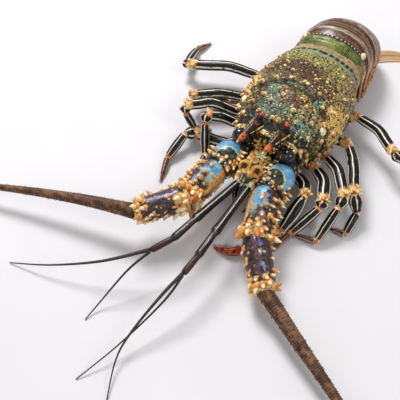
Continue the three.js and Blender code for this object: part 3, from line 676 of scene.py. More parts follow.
def horn_paint(settings):
    """Near-black horns with pale pink lines along the top painted as highlights, and orange before the tip.
    """
    paint = Paint("horn shell", Coat_Roughness=0.15, Specular_IOR_Level=0.25)
    across, up, reach = paint.section()
    streak = paint.clouds(2.2, 3)
    fine = paint.clouds(1.0, 2)
    wander = across + streak.sway(0.4)
    # The pale pink lines along each horn are painted highlights
    painted_highlight = wander.near(0.25, 0.15) * reach.rise(0.3, 0.45) * fine.rise(0.34, 0.46)
    green = wander.near(0.72, 0.14) * up.rise(-0.2, 0.2) * streak.rise(0.4, 0.5) * reach.rise(0.6, 0.4)
    colour = paint.layers(
        "0b0807",
        (settings.horn, (streak * 0.8 + reach * 0.2).rise(0.46, 0.62)),
        # pale pink: the painted highlight lines
        ("e3b9a8", painted_highlight * 0.85),
        ("b9b65c", green * 0.8),
        ("8e4a22", (reach + fine.sway(0.1)).near(0.3, 0.07) * streak.rise(0.44, 0.56) * 0.8),
        ("dd6f22", (reach + fine.sway(0.2)).near(0.82, 0.16) * streak.rise(0.32, 0.46)),
        ("f0cf8c", (reach + fine.sway(0.1)).rise(0.93, 0.98)),
    )
    return paint.finish(colour, 0.34 + streak * 0.2, streak + fine * 0.5, 0.3, coat=0.15)


def eye_paint(settings):
    """A wet, near-black globe, with violet clouds painted on as a reflection."""
    paint = Paint("eye globe", Coat_Roughness=0.03, Specular_IOR_Level=0.4)
    cells = paint.cells(0.35)
    # The violet clouds over the dark are a painted reflection
    colour = paint.layers(settings.eye, ("1e1730", paint.clouds(4, 2).rise(0.4, 0.7) * 0.6))
    return paint.finish(colour, 0.1 + cells * 0.08, cells, 0.02, coat=0.6)


def plate_paint(name, dark, patch, edge):
    """Dark shell with clouded patches, pale specks and a worn surface."""
    paint = Paint(name, Coat_Roughness=0.14, Specular_IOR_Level=0.5)
    cloud = paint.clouds(6, 4)
    rim, tone = paint.pebbles(2.0)
    colour = paint.layers(
        dark,
        (patch, cloud.rise(0.47, 0.6)),
        ("3c2616", paint.clouds(3, 3).rise(0.52, 0.62) * 0.8),
        (edge, tone.rise(0.8, 0.86) * rim.rise(0.12, 0.24)),
    )
    return paint.finish(colour, 0.25 + cloud * 0.2, rim.rise(0, 0.25) + cloud, 0.3, coat=0.4)


def dome_paint(settings, centre):
    """The blue half moon on the first broad segment, round a dark green field with a pale rim."""
    paint = Paint("feeler dome", Coat_Roughness=0.1, Specular_IOR_Level=0.55)
    away = paint.node("ShaderNodeVectorMath", {"operation": "DISTANCE"},
                      {0: paint.place, 1: Vector(centre) * MM}, output="Value") / MM
    cloud = paint.clouds(5, 3)
    fine = paint.clouds(2, 4)
    ring = away + cloud.sway(3.4)
    height = paint.place.parts()[2] / MM
    blue = paint.layers(
        settings.blue,
        ("7fb2cf", cloud.rise(0.45, 0.62)),
        ("14263a", ring.rise(15.5, 17.5)),
    )
    colour = paint.layers(
        paint.layers("07130f", ("1f5a3f", fine.rise(0.5, 0.66))),
        (blue, ring.rise(8.6, 9.2)),
        ("ccd08c", (ring + fine.sway(1.5)).near(8.5, 0.9)),
        (paint.layers("14100f", ("3a2a1a", fine.rise(0.45, 0.6))), (height + cloud.sway(5)).rise(31, 28)),
    )
    return paint.finish(colour, 0.32 + cloud * 0.14, fine, 0.12, coat=0.25)


def segment_paint(name, settings, blue_reach):
    """Purple-brown segment: blue near its root, then a pale flank with an orange edge on its inner side, and
    lilac glints along the top painted as highlights.
    """
    paint = Paint(name, Coat_Roughness=0.14, Specular_IOR_Level=0.4)
    inner, up, reach = paint.section()
    cloud = paint.clouds(5, 4)
    streak = paint.clouds(1.8, 4)
    rim, tone = paint.pebbles(2.2)
    # Lilac glints along the top of the segment: a painted highlight
    painted_glint = (inner + streak.sway(0.5)).near(-0.12, 0.26) * up.rise(0.5, 0.8)
    flank = (inner - up * 0.1 + cloud.sway(0.3)).rise(0.18, 0.34)
    pale = paint.layers(
        "b9ab88",
        ("7d9a9c", (streak * 0.5 + cloud * 0.5).rise(0.42, 0.6)),
        ("3a3a2c", cloud.rise(0.56, 0.68) * 0.6),
    )
    blue = paint.layers(settings.blue, ("8fc0cf", cloud.rise(0.46, 0.6)))
    shown = (reach + cloud.sway(0.2) + inner.size() * 0.1).rise(blue_reach + 0.12, blue_reach)
    blue_side = (inner + up * 0.2 + streak.sway(0.3)).near(0.5, 0.5).rise(0.1, 0.4)
    edge = (inner - up * 0.15 + streak.sway(0.2)).near(0.82, 0.2)
    amber_edge = edge * reach.rise(blue_reach + 0.5, blue_reach + 0.2)
    amber = paint.layers(settings.orange, ("f2bd6e", streak.rise(0.46, 0.6)))
    ends = (reach + streak.sway(0.08)).rise(0.84, 0.92)
    colour = paint.layers(
        "120c10",
        (settings.purple, cloud.rise(0.4, 0.56)),
        ("5f4438", streak.rise(0.46, 0.66) * 0.7),
        # lilac: the painted glints along the top
        ("9a97c6", painted_glint * cloud.rise(0.44, 0.56) * 0.85),
        ("d8b26a", tone.rise(0.94, 0.97) * rim.rise(0.14, 0.28) * 0.8),
        ("9a5430", tone.near(0.3, 0.05) * rim.rise(0.08, 0.24) * 0.7),
        (pale, flank * reach.rise(blue_reach + 0.3, blue_reach + 0.1)),
        (blue, shown * blue_side),
        ("c7c98c", shown.near(0.5, 0.4) * streak.rise(0.42, 0.54) * 0.8),
        (amber, amber_edge.rise(0.1, 0.4) * cloud.rise(0.3, 0.42)),
        ("b06a30", ends * 0.85),
        ("f0cf8a", ends * streak.rise(0.46, 0.56)),
    )
    return paint.finish(colour, 0.3 + streak * 0.25, rim.rise(0, 0.3) * 0.6 + streak, 0.4, coat=0.25)


def whip_paint(settings):
    """Brown whip, darker in the furrows between its rings, with a lighter top painted as a highlight."""
    paint = Paint("feeler whip", Coat_Roughness=0.3, Specular_IOR_Level=0.25)
    _, up, reach = paint.section()
    ring = paint.value("ring")
    streak = paint.clouds(2.6, 4)
    colour = paint.layers(
        "2a1d17",
        (settings.whip, (streak + ring * 0.16).rise(0.36, 0.66)),
        # Lighter brown along the top, more on the raised rings: a painted highlight
        ("8c6648", (up + streak.sway(1.4)).rise(0.5, 1.1) * (0.4 + ring * 0.3)),
        ("33221b", paint.clouds(9, 3).rise(0.46, 0.6) * 0.7),
        ("2a1a14", reach.rise(0.3, 1.0) * 0.5),
    )
    return paint.finish(colour, 0.4 + streak * 0.2, streak, 0.12, coat=0.05)


def stem_paint(name, dark, pale):
    """Dark stem with one pale line along its top, a painted highlight whose strength is pale, and red-brown
    ends.
    """
    paint = Paint(name, Coat_Roughness=0.14, Specular_IOR_Level=0.3)
    across, up, reach = paint.section()
    streak = paint.clouds(2, 3)
    # The pale line along the top is a painted highlight
    line = (across + streak.sway(0.3)).near(-0.15, 0.2).rise(0.1, 0.6) * up.rise(0.2, 0.5)
    colour = paint.layers(
        dark,
        ("2c211c", streak.rise(0.5, 0.66) * 0.6),
        ("c9c4b8", line * reach.rise(0.85, 0.6) * streak.rise(0.3, 0.42) * pale),
        ("3c1c14", reach.near(0.6, 0.05).most(reach.rise(0.72, 0.9)) * 0.85),
    )
    return paint.finish(colour, 0.3 + streak * 0.15, streak, 0.08, coat=0.2)


def leg_paint(name, settings):
    """Black leg with pale lines along it and orange joints. Its warm attribute turns it red-brown."""
    paint = Paint(name, Coat_Roughness=0.16, Specular_IOR_Level=0.25)
    across, up, reach = paint.section()
    warm = paint.value("warm")
    streak = paint.clouds(2.0, 4)
    cloud = paint.clouds(8, 2)
    wander = cloud.sway(0.3)
    red = paint.layers(
        settings.claw,
        ("b23a1c", warm.rise(1.1, 1.5)),
        ("2a120a", streak.rise(0.44, 0.6)),
    )
    joint = paint.layers(
        settings.joint,
        ("7c3d1a", streak.rise(0.52, 0.66)),
        ("f2d79c", paint.clouds(3.4, 2).rise(0.46, 0.6)),
    )
    top = (across + wander - 0.1).near(0, 0.14).rise(0.1, 0.5) * up.rise(0.2, 0.5)
    flank = (across.size() + wander * 0.3).near(0.88, 0.1).rise(0.1, 0.5) * up.rise(-0.2, 0.1)
    line = (top * (1 - warm * 0.6)).most(flank * (0.95 - warm * 0.55)) * cloud.rise(0.25, 0.42)
    spots = paint.cells(3.2).rise(0.17, 0.1) * paint.clouds(7, 1).rise(0.5, 0.58)
    colour = paint.layers(
        settings.black,
        ("231d12", streak.rise(0.54, 0.68) * 0.7),
        (red, (warm + (reach - 0.6) * 0.8 + (cloud - 0.5)).rise(0.3, 0.8) * warm.rise(0, 0.4)),
        (settings.line, line * streak.rise(0.28, 0.4)),
        ("b9a878", spots * 0.7),
        (joint, (paint.value("joint") + streak.sway(0.9)).rise(0.35, 0.6) * 0.95),
    )
    return paint.finish(colour, 0.3 + streak * 0.2, streak + line, 0.2, coat=0.16)


def bristle_paint(name, code):
    """Stiff, dull hairs, paler to the tip."""
    paint = Paint(name, Specular_IOR_Level=0.3)
    reach = paint.section()[2]
    return paint.finish(paint.layers(code, ("c9a878", reach.rise(0.3, 1.0) * 0.7)), 0.6)


def tail_paint(name, settings, green):
    """Smooth plate: brown with fine grey-tan bands across it, or moss green on the first one."""
    paint = Paint(name, Coat_Roughness=0.14, Specular_IOR_Level=0.4)
    around, ahead, side = paint.section()
    streak = paint.clouds(2.4, 4)
    cloud = paint.clouds(12, 4)
    wave = ahead + cloud.sway(0.25) + streak.sway(0.05)
    lines = (wave * 40 + cloud * 9).sine().rise(0.0, 0.9) * streak.rise(0.34, 0.54)
    brown = paint.layers(
        settings.brown,
        ("38211c", (streak * 0.5 + cloud * 0.5).rise(0.42, 0.6)),
        (settings.band, wave.near(0.5, 0.17).rise(0.1, 0.7) * cloud.rise(0.3, 0.5) * 0.9),
        ("a9683c", wave.near(0.8, 0.09) * streak.rise(0.35, 0.55) * 0.8),
        ("2a1814", lines * 0.65),
        ("150d0a", wave.near(0.3, 0.05).most(wave.near(0.66, 0.04)) * 0.8),
    )
    comb = (around * 125 + streak.sway(4)).sine()
    moss = paint.layers(
        "242a13",
        (settings.moss, (streak + comb * 0.15).rise(0.34, 0.6)),
        ("a3a05c", cloud.rise(0.5, 0.62) * 0.6),
        ("c0843c", side.near(64, 14) * streak.rise(0.4, 0.55) * 0.8),
        ("0f0c08", (side + streak.sway(30)).rise(66, 80) * 0.95),
    )
    lobes = side.rise(62, 84)
    amber = paint.layers("dd9650", ("7c441e", streak.rise(0.48, 0.66)))
    ticks = (around * 62).sine().rise(0.0, 0.6) * (ahead + green * 0.06).rise(0.93, 0.96)
    pale_edge = (lobes * ahead.rise(0.86, 0.94)).most((1 - green) * ahead.rise(0.95, 0.975) * 0.6)
    fringe = paint.layers(
        "0e0c0b",
        ("c2b894", ticks * (0.4 + green * 0.6)),
        (settings.edge, pale_edge * 0.9),
    )
    colour = paint.layers(
        brown,
        (moss, side.rise(88, 66) * green),
        (amber, lobes * ahead.rise(0.24, 0.46) * 0.9),
        # Near-black over the front of each side lobe, in the gap to the plate before: painted shade
        ("0e0908", lobes * (ahead + streak.sway(0.2)).rise(0.42, 0.26) * 0.95),
        # Darker towards the lower edge of the plates: painted shade
        ("16100e", side.rise(100, 112) * streak.rise(0.44, 0.58) * 0.6),
        (fringe, (ahead + green * 0.13).rise(0.9, 0.935) * (0.75 + green * 0.25)),
    )
    return paint.finish(colour, 0.28 + streak * 0.18, streak * 0.7 + cloud, 0.3, coat=0.2)


def fan_paint(settings):
    """Orange-tan blades with brown lines that spread from the root."""
    paint = Paint("tail fan", Coat_Roughness=0.2, Specular_IOR_Level=0.4)
    across, _, reach = paint.section()
    streak = paint.clouds(2.2, 3)
    rays = (across * 34 + streak.sway(3)).sine().rise(-0.2, 0.8)
    colour = paint.layers(
        settings.fan,
        (settings.vein, rays * (0.35 + streak * 0.6)),
        ("b8a888", (paint.clouds(9, 3) - reach * 0.2).rise(0.38, 0.52) * 0.5),
        (settings.vein, across.near(0.05, 0.2) * 0.85),
        ("e3bd84", (across.size() + streak.sway(0.1)).rise(0.86, 0.97) * 0.8),
        ("3c2a1e", (reach + streak.sway(0.1)).rise(0.9, 1.0) * 0.6),
    )
    return paint.finish(colour, 0.36 + streak * 0.2, rays * 0.5 + streak * 0.5, 0.25, coat=0.25)


def flesh_paint(name, code, other):
    """Dull leathery skin between the plates."""
    paint = Paint(name, Specular_IOR_Level=0.35)
    cloud = paint.clouds(5, 4)
    colour = paint.layers(code, (other, cloud.rise(0.4, 0.65)))
    return paint.finish(colour, 0.5 + cloud * 0.2, paint.clouds(1.2, 3), 0.3)


def underside_paint(settings):
    """Pale horn-coloured plates with darker furrows."""
    paint = Paint("underside", Coat_Roughness=0.3, Specular_IOR_Level=0.4)
    cloud = paint.clouds(8, 4)
    furrow = (paint.place.parts()[1] * (math.pi / (BELLY_RIDGE * MM))).sine().size().rise(0.25, 0.05)
    colour = paint.layers(
        settings.belly,
        ("6f5638", cloud.rise(0.4, 0.7)),
        ("33261a", furrow * 0.8),
    )
    return paint.finish(colour, 0.4 + cloud * 0.2, cloud - furrow, 0.5, coat=0.2)


def floor_paint():
    """Dull, nearly white floor with faint clouds."""
    paint = Paint("floor", Specular_IOR_Level=0.2)
    return paint.finish(paint.layers("dddbe0", ("e5e3e7", paint.clouds(60, 2))), 0.7)


def clear():
    """Takes every object out of the selection, in object mode."""
    if bpy.context.object and bpy.context.object.mode != "OBJECT":
        bpy.ops.object.mode_set(mode="OBJECT")
    bpy.ops.object.select_all(action="DESELECT")


def take(piece):
    clear()
    piece.select_set(True)
    bpy.context.view_layer.objects.active = piece


def even_normals(piece):
    take(piece)
    bpy.ops.object.mode_set(mode="EDIT")
    bpy.ops.mesh.select_all(action="SELECT")
    bpy.ops.mesh.normals_make_consistent(inside=False)
    bpy.ops.object.mode_set(mode="OBJECT")


def apply_modifier(piece, kind, **settings):
    take(piece)
    modifier = piece.modifiers.new(kind.lower(), kind)
    for key, value in settings.items():
        setattr(modifier, key, value)
    bpy.ops.object.modifier_apply(modifier=modifier.name)


def roughen(piece, size, strength):
    """Uneven, soft swellings: their size and height in millimetres."""
    texture = bpy.data.textures.new(piece.name, "CLOUDS")
    texture.noise_scale = size
    texture.noise_depth = 3
    apply_modifier(piece, "DISPLACE", texture=texture, texture_coords="LOCAL", strength=strength)


def settle(piece, material, nodes=(), angle=50):
    """Brings a piece from millimetres to metres, and sets it with its finish on the lobster's body."""
    take(piece)
    piece.scale = (MM, MM, MM)
    bpy.ops.object.transform_apply(location=True, rotation=True, scale=True)
    bpy.ops.object.shade_smooth_by_angle(angle=math.radians(angle))
    piece.data.materials.clear()
    piece.data.materials.append(material)
    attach(piece, "root")
    if nodes:
        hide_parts(*nodes)


def skin(piece, material, nodes=(), levels=1, swell=None):
    """Rounds a piece, gives it swellings of a size and a height, and settles it."""
    apply_modifier(piece, "SUBSURF", levels=levels, render_levels=levels)
    if swell:
        roughen(piece, *swell)
    settle(piece, material, nodes)


def gather(name, pieces):
    """Joins pieces to one."""
    clear()
    for piece in pieces:
        piece.select_set(True)
    bpy.context.view_layer.objects.active = pieces[0]
    bpy.ops.object.join()
    joined = bpy.context.object
    joined.name = name
    joined.data.name = name
    return joined


def ball(name, centre, radius, size, segments, rings):
    """A sphere round a centre, drawn out along its axes."""
    clear()
    bpy.ops.mesh.primitive_uv_sphere_add(segments=segments, ring_count=rings, radius=radius, location=centre)
    piece = bpy.context.object
    piece.name = name
    bpy.ops.transform.resize(value=size, center_override=centre)
    bpy.ops.object.transform_apply(location=True, rotation=True, scale=True)
    return piece


def limb(name, stops, sides, inner=1):
    """A limb drawn out ring by ring from a filled circle. A stop is its place, half width and half height.
    Its section attribute holds across, up and along; inner is -1 to turn across to the other side."""
    clear()
    bpy.ops.mesh.primitive_circle_add(vertices=sides, radius=1, fill_type="NGON")
    piece = bpy.context.object
    piece.name = name
    piece.data.attributes.new("section", "FLOAT_VECTOR", "POINT")
    bpy.ops.object.mode_set(mode="EDIT")
    places = [Vector(place) for place, _, _ in stops]
    lengths = [0]
    for before, after in zip(places, places[1:]):
        lengths.append(lengths[-1] + (after - before).length)
    last = len(stops) - 1
    across = None
    for i, (_, half_width, half_height) in enumerate(stops):
        if i > 0:
            bpy.ops.mesh.extrude_region_move()
        ahead = (places[min(i + 1, last)] - places[max(i - 1, 0)]).normalized()
        if across is None:
            across = ahead.cross(UP) if abs(ahead.z) < 0.95 else Vector((1, 0, 0))
        across = (across - ahead * across.dot(ahead)).normalized()
        lift = across.cross(ahead)
        shape = bmesh.from_edit_mesh(piece.data)
        section = shape.verts.layers.float_vector["section"]
        for corner in shape.verts:
            if not corner.select:
                continue
            x, y, _ = corner[section] if i > 0 else corner.co
            corner[section] = (x, y, lengths[i] / lengths[-1])
            corner.co = places[i] + across * (x * half_width) + lift * (y * half_height)
        bmesh.update_edit_mesh(piece.data)
    if inner < 0:
        shape = bmesh.from_edit_mesh(piece.data)
        section = shape.verts.layers.float_vector["section"]
        for corner in shape.verts:
            corner[section] = corner[section] * Vector((-1, 1, 1))
    bpy.ops.mesh.select_all(action="SELECT")
    bpy.ops.mesh.normals_make_consistent(inside=False)
    bpy.ops.object.mode_set(mode="OBJECT")
    return piece


def curve_point(points, share):
    """A point of a smooth line through some points, at a share of its steps."""
    at = min(max(share, 0), 1) * (len(points) - 1)
    i = min(int(at), len(points) - 2)
    u = at - i
    a = points[max(i - 1, 0)]
    b, c = points[i], points[i + 1]
    d = points[min(i + 2, len(points) - 1)]
    square = (2 * a - 5 * b + 4 * c - d) * u ** 2
    return 0.5 * (2 * b + (c - a) * u + square + (3 * b - a - 3 * c + d) * u ** 3)


def smooth_stops(stops, count):
    """More stops on a smooth line through some, with their sizes smoothly between."""
    rows = [Vector((*place, half_width, half_height)) for place, half_width, half_height in stops]
    smooth = []
    for i in range(count):
        row = curve_point(rows, i / (count - 1))
        smooth.append((Vector(row[:3]), row[3], row[4]))
    return smooth


def capped(stops):
    """Stops with a round end put on at both ends."""
    def cap(end, beside):
        place, half_width, half_height = end
        out = (Vector(place) - Vector(beside[0])).normalized()
        reach = 0.45 * min(half_width, half_height)
        return (Vector(place) + out * reach, half_width * 0.62, half_height * 0.62)
    return [cap(stops[0], stops[1]), *stops, cap(stops[-1], stops[-2])]


def between(start, end, share):
    return Vector(start).lerp(Vector(end), share)


def stations(start, end, rows, size=1):
    """Stops from rows of a share of the way, a half width and a half height, in units of size."""
    return [(between(start, end, share), width * size, height * size) for share, width, height in rows]


def along(rows, at):
    """The columns of a table of stations, smoothly between its rows."""
    i = 0
    while i < len(rows) - 2 and at > rows[i + 1][0]:
        i += 1
    before = rows[max(i - 1, 0)]
    start = rows[i]
    end = rows[i + 1]
    after = rows[min(i + 2, len(rows) - 1)]
    step = end[0] - start[0]
    u = (at - start[0]) / step
    values = []
    for column in range(1, len(start)):
        leave = step * (end[column] - before[column]) / (end[0] - before[0])
        arrive = step * (after[column] - start[column]) / (after[0] - start[0])
        held = (2 * u ** 3 - 3 * u ** 2 + 1) * start[column] + (3 * u ** 2 - 2 * u ** 3) * end[column]
        values.append(held + (u ** 3 - 2 * u ** 2 + u) * leave + (u ** 3 - u ** 2) * arrive)
    return values


def drape(name, columns, rows, place, thickness=0.0):
    """A grid laid on a form. place gives a point and its section values for shares across and along."""
    clear()
    bpy.ops.mesh.primitive_grid_add(x_subdivisions=columns, y_subdivisions=rows, size=1)
    piece = bpy.context.object
    piece.name = name
    section = piece.data.attributes.new("section", "FLOAT_VECTOR", "POINT")
    for corner in piece.data.vertices:
        point, values = place(corner.co.x + 0.5, corner.co.y + 0.5)
        section.data[corner.index].vector = values
        corner.co = point
    even_normals(piece)
    if thickness:
        apply_modifier(piece, "SOLIDIFY", thickness=thickness, offset=-1)
    return piece


def seeded(seed):
    """Even random numbers from 0 to 1, the same on every run and in the solids."""
    state = seed

    def draw():
        nonlocal state
        state = (state * 1664525 + 1013904223) % 4294967296
        return state / 4294967296
    return draw


def spine_pattern(name, profile, sides=9, bend=0.1):
    """One upright spine of height and radius 1, from its heights and radii."""
    stops = [(Vector((bend * height ** 2, 0, height)), radius, radius) for height, radius in profile]
    pattern = limb(name, stops, sides)
    pattern.data.attributes.new("tone", "FLOAT", "POINT")
    return pattern


def standing(root, direction, length, radius):
    """The placing of a spine: where it stands, the way that it points, its length and its radius."""
    aim = Vector(direction).to_track_quat("Z", "Y").to_matrix().to_4x4()
    size = Matrix.Diagonal((radius, radius, length, 1))
    return Matrix.Translation(root) @ aim @ size


def scatter(name, pattern, placings, draw):
    """Copies of a pattern, each with its own mesh and tone, joined to one piece."""
    copies = []
    for placing in placings:
        mesh = pattern.data.copy()
        mesh.transform(placing)
        tone = draw()
        mesh.attributes["tone"].data.foreach_set("value", [tone] * len(mesh.vertices))
        copy = bpy.data.objects.new(name, mesh)
        bpy.context.scene.collection.objects.link(copy)
        copies.append(copy)
    return gather(name, copies)


def plant(name, pattern, placings, draw, material):
    settle(scatter(name, pattern, placings, draw), material)


def over_floor(placings):
    """The placings whose root and tip both stay over the floor."""
    return [each for each in placings if min((each @ UP).z, each.translation.z) > FLOOR_GAP]


def drop(*patterns):
    for pattern in patterns:
        bpy.data.objects.remove(pattern)


def shell_point(at, turn):
    """A point of the carapace, turn degrees round from its top line, + to the left."""
    half, top, side = along(SHELL, at)
    away = abs(turn)
    rear = max(0, 1 - at / 30)
    front = max(0, (at - 70) / 30)
    angle = math.radians(min(away, 90))
    low = max(0, (away - 90) / (SHELL_LAST_TURN - 90))
    x = half * max(math.sin(angle), 0) ** 0.92 * (1 - SHELL_TUCK * low ** 1.6)
    z = side + (top - side) * max(math.cos(angle), 0) ** 0.92
    if away > 90:
        z = side - (side - SHELL_EDGE_Z) * low
    sweep = math.sin(angle) ** 2
    y = REAR_Y - at + rear * (3 * sweep - 9 * low) + front * (5 * sweep + 3 * low)
    return Vector((math.copysign(x, turn), y, z))


def shell_normal(at, turn):
    forward = shell_point(at + 1, turn) - shell_point(at - 1, turn)
    sideways = shell_point(at, turn + 1) - shell_point(at, turn - 1)
    return forward.cross(sideways).normalized()


def groove_depth(at, side):
    """The neck groove across the shell, two lines behind it, and the furrow of the rear rim."""
    neck = at - (GROOVE_AT + GROOVE_SLANT * max(side - GROOVE_FLAT, 0))
    depth = GROOVE_DEPTH * math.exp(-(neck / GROOVE_REACH) ** 2)
    if at < LINE_FRONT:
        line = LINE_DEPTH * math.exp(-((side - LINE_TURN) / LINE_REACH) ** 2)
        depth += line * min(1, (LINE_FRONT - at) / 10) * min(1, at / 14)
    bead = 0.3 + 0.5 * max(0, math.sin(side * BEADS))
    return depth + bead * math.exp(-((at - RIM_FURROW) / RIM_REACH) ** 2)


def make_shell(settings, name):
    """The carapace as a fine grid, with its grooves, swellings and grains."""
    grain_size = settings.grain_size / MM
    grain_height = settings.grain_height / MM
    relief = []

    def place(u, v):
        at = v * CARAPACE_LENGTH
        turn = (2 * u - 1) * SHELL_LAST_TURN
        point = shell_point(at, turn)
        distances, _ = noise.voronoi(point / grain_size)
        grain = min(1, (distances[1] - distances[0]) * 2.4)
        grain = grain * (2 - grain) * min(max((at - RIM_END + 1) / 1.5, 0), 1)
        swell = sum(noise.noise(point / size) * height for size, height in SWELLINGS)
        lift = grain * grain_height + swell - groove_depth(at, abs(turn))
        relief.append(grain)
        out = shell_normal(min(max(at, 1), CARAPACE_LENGTH - 1), turn)
        return point + out * lift, (turn / TURN_UNIT, at, abs(turn))

    piece = drape(name, *SHELL_GRID, place)
    piece.data.attributes.new("grain", "FLOAT", "POINT").data.foreach_set("value", relief)
    apply_modifier(piece, "SOLIDIFY", thickness=settings.plate_thickness / MM, offset=-1)
    return piece


def shell_spine_places(settings):
    """The large spines, at the places of the solid ones, and many small ones between them."""
    draw = seeded(11)
    vary = seeded(12)
    shortest, longest = settings.spine_shortest / MM, settings.spine_longest / MM
    radius = settings.spine_radius / MM
    large = []
    for side in SIDES.values():
        for turn, places in SPINE_ROWS:
            for place in places:
                at = min(place + 5 * (draw() - 0.5), CARAPACE_LENGTH - 2)
                turned = side * (turn + 5 * (draw() - 0.5))
                forward = at / CARAPACE_LENGTH
                direction = shell_normal(at, turned) + Vector((0, -0.95, 0))
                length = (shortest + (longest - shortest) * forward ** 2) * (0.8 + 0.4 * draw())
                width = radius * (0.62 + 0.38 * forward) * (0.75 + 0.4 * vary())
                large.append(standing(shell_point(at, turned), direction, length, width))
    chance = random.Random(5)
    small = []
    for _ in range(settings.small_spines):
        at = 18 + 80 * chance.random() ** 0.65
        turn = chance.uniform(-120, 120)
        forward = at / CARAPACE_LENGTH
        direction = shell_normal(at, turn) + Vector((0, -0.9, 0))
        length = chance.uniform(0.7, 1.5) + 2.8 * forward ** 4 * chance.random()
        width = 0.42 + 0.85 * forward ** 3 * chance.random()
        small.append(standing(shell_point(at, turn), direction, length, width))
    return large, small


def on_shell(rows, lean=0):
    """Placings of single forms on both sides of the carapace, leaning forward."""
    placings = []
    for side, (at, turn, length, width) in itertools.product(SIDES.values(), rows):
        aim = shell_normal(at, side * turn) + Vector((0, -lean, 0))
        placings.append(standing(shell_point(at, side * turn), aim, length, width))
    return placings


def face_places():
    """The spines of the face under the horns, and those along the front rim of the shell."""
    chance = random.Random(17)
    placings = []
    for _ in range(FACE_SPINES):
        angle = chance.uniform(-0.15, math.pi + 0.15)
        out = math.sqrt(chance.random())
        root = Vector((16 * out * math.cos(angle), -46 - 4.5 * (1 - out), 34 + 13.5 * out * math.sin(angle)))
        aim = Vector((0.5 * math.cos(angle) * out, -1, 0.4 + 0.7 * math.sin(angle)))
        placings.append(standing(root, aim, chance.uniform(1.8, 4.8), chance.uniform(0.6, 1.7)))
    for i in range(BROW_SPINES):
        turn = -66 + 132 * (i + chance.random()) / BROW_SPINES
        aim = shell_normal(98, turn) * chance.uniform(0.2, 1) + Vector((0, -1, 0))
        root = shell_point(99.5, turn)
        placings.append(standing(root, aim, chance.uniform(2, 4.4), chance.uniform(0.9, 1.6)))
    return placings


class LOBSTER_OT_carapace(Operator):
    """Make the carapace with its grooves and grains, its spines and the body under it"""

    bl_idname = "lobster.carapace"
    bl_label = "Carapace"

    def execute(self, context):
        settings = context.scene.lobster_shell
        cream, tip = settings.cream, settings.orange
        settle(make_shell(settings, "carapace_shell"), shell_paint(settings), ["carapace"])
        large, small = shell_spine_places(settings)
        pattern = spine_pattern("spine pattern", SPINE_PROFILE)
        little = spine_pattern("small spine pattern", SPINE_PROFILE[1:7], 6)
        blunt = spine_pattern("knob pattern", KNOB_PROFILE, 12, 0)
        draw = seeded(29)
        for name, shape, placings, colours in (
            ("carapace_spines", pattern, large,
             ("shell spines", cream, "a8622a", tip, "2c2014", 0.74, 0.2, 0.24)),
            ("carapace_small_spines", little, small,
             ("small spines", "8f8450", "6f6038", cream, "38331f", 0.4, 0.68)),
            ("carapace_teeth", pattern, on_shell(ORANGE_TEETH, 1.1),
             ("orange teeth", "5c2414", "c8461e", "e8662c", "1a100c", 0.45)),
            ("carapace_knobs", blunt, on_shell(PALE_KNOBS),
             ("pale knobs", "d3c78c", "ece2b4", "f4ecc4", "4b4a30", 0.3)),
            ("face_spines", pattern, face_places(),
             ("face spines", "f2df98", "d98432", "f6eab0", "4a3416", 0.62, 0.35)),
        ):
            plant(name, shape, placings, draw, spine_paint(*colours))
        rim = []
        for i in range(BROW_STEPS + 1):
            turn = -70 + 140 * i / BROW_STEPS
            width = 1.5 + 0.5 * math.sin(i * 2.2) * math.sin(i * 0.7)
            rim.append((shell_point(99.6, turn) + Vector((0, -0.7, 0.4)), width, width * 0.9))
        brow_paint = plate_paint("brow rim", "171a10", "bdb86a", "dd9a4c")
        skin(limb("brow_rim", rim, 10), brow_paint, swell=(1.5, 0.5))
        drop(pattern, little, blunt)
        core = limb("body_core", smooth_stops(CORE, 12), 24)
        # The body is near-black as painted shade in the hollows between the horns and under the shell
        skin(core, flesh_paint("body skin and painted shade", "0f0d0a", "33301c"), swell=(6, 0.8))
        return {"FINISHED"}


def horn_ridge(centres, widths, side, tilt):
    """A knobbly ridge along a horn, tilt degrees from its top line."""
    angle = math.radians(tilt)
    stops = []
    for i in range(RIDGE_STEPS + 1):
        share = i / RIDGE_STEPS
        width = curve_point(widths, share)[0] * 0.97
        offset = Vector((side * width * math.sin(angle), 0, width * 0.92 * math.cos(angle)))
        radius = (1.05 - 0.6 * share) * (0.8 + 0.3 * math.sin(i * 2.3))
        stops.append((curve_point(centres, share) + offset, radius, radius))
    return limb("horn ridge", stops, 8)


class LOBSTER_OT_horns(Operator):
    """Make the two horns over the eyes, with the ridges along them"""

    bl_idname = "lobster.horns"
    bl_label = "Horns"

    def execute(self, context):
        settings = context.scene.lobster_shell
        base = HORN["base"]
        horns = []
        ridges = []
        for side in SIDES.values():
            root, middle, tip = (Vector((side * HORN["x"], *HORN[key])) for key in ("root", "middle", "tip"))
            stops = [
                (root, base + 0.8, base),
                *stations(root, middle, ((0.3, 1.02, 0.96), (0.62, 0.8, 0.7), (1, 0.58, 0.5)), base),
                *stations(middle, tip, ((0.6, 0.36, 0.32),), base),
                (tip, 0.3, 0.3),
            ]
            horns.append(limb(f"horn {side}", smooth_stops(stops, 20), 18))
            centres = [root.lerp(middle, share) for share in (0, 0.3, 0.62, 1)]
            widths = [Vector((base * size, 0, 0)) for size in (1.1, 1.0, 0.77, 0.55)]
            for tilt in RIDGE_TILTS:
                ridges.append(horn_ridge(centres, widths, side, tilt))
        skin(gather("horns", horns), horn_paint(settings), swell=(2.5, 0.35))
        ridge_paint = plate_paint("horn ridge", "c3c26a", "dd923a", "f0e6a6")
        skin(gather("horn_ridges", ridges), ridge_paint)
        return {"FINISHED"}


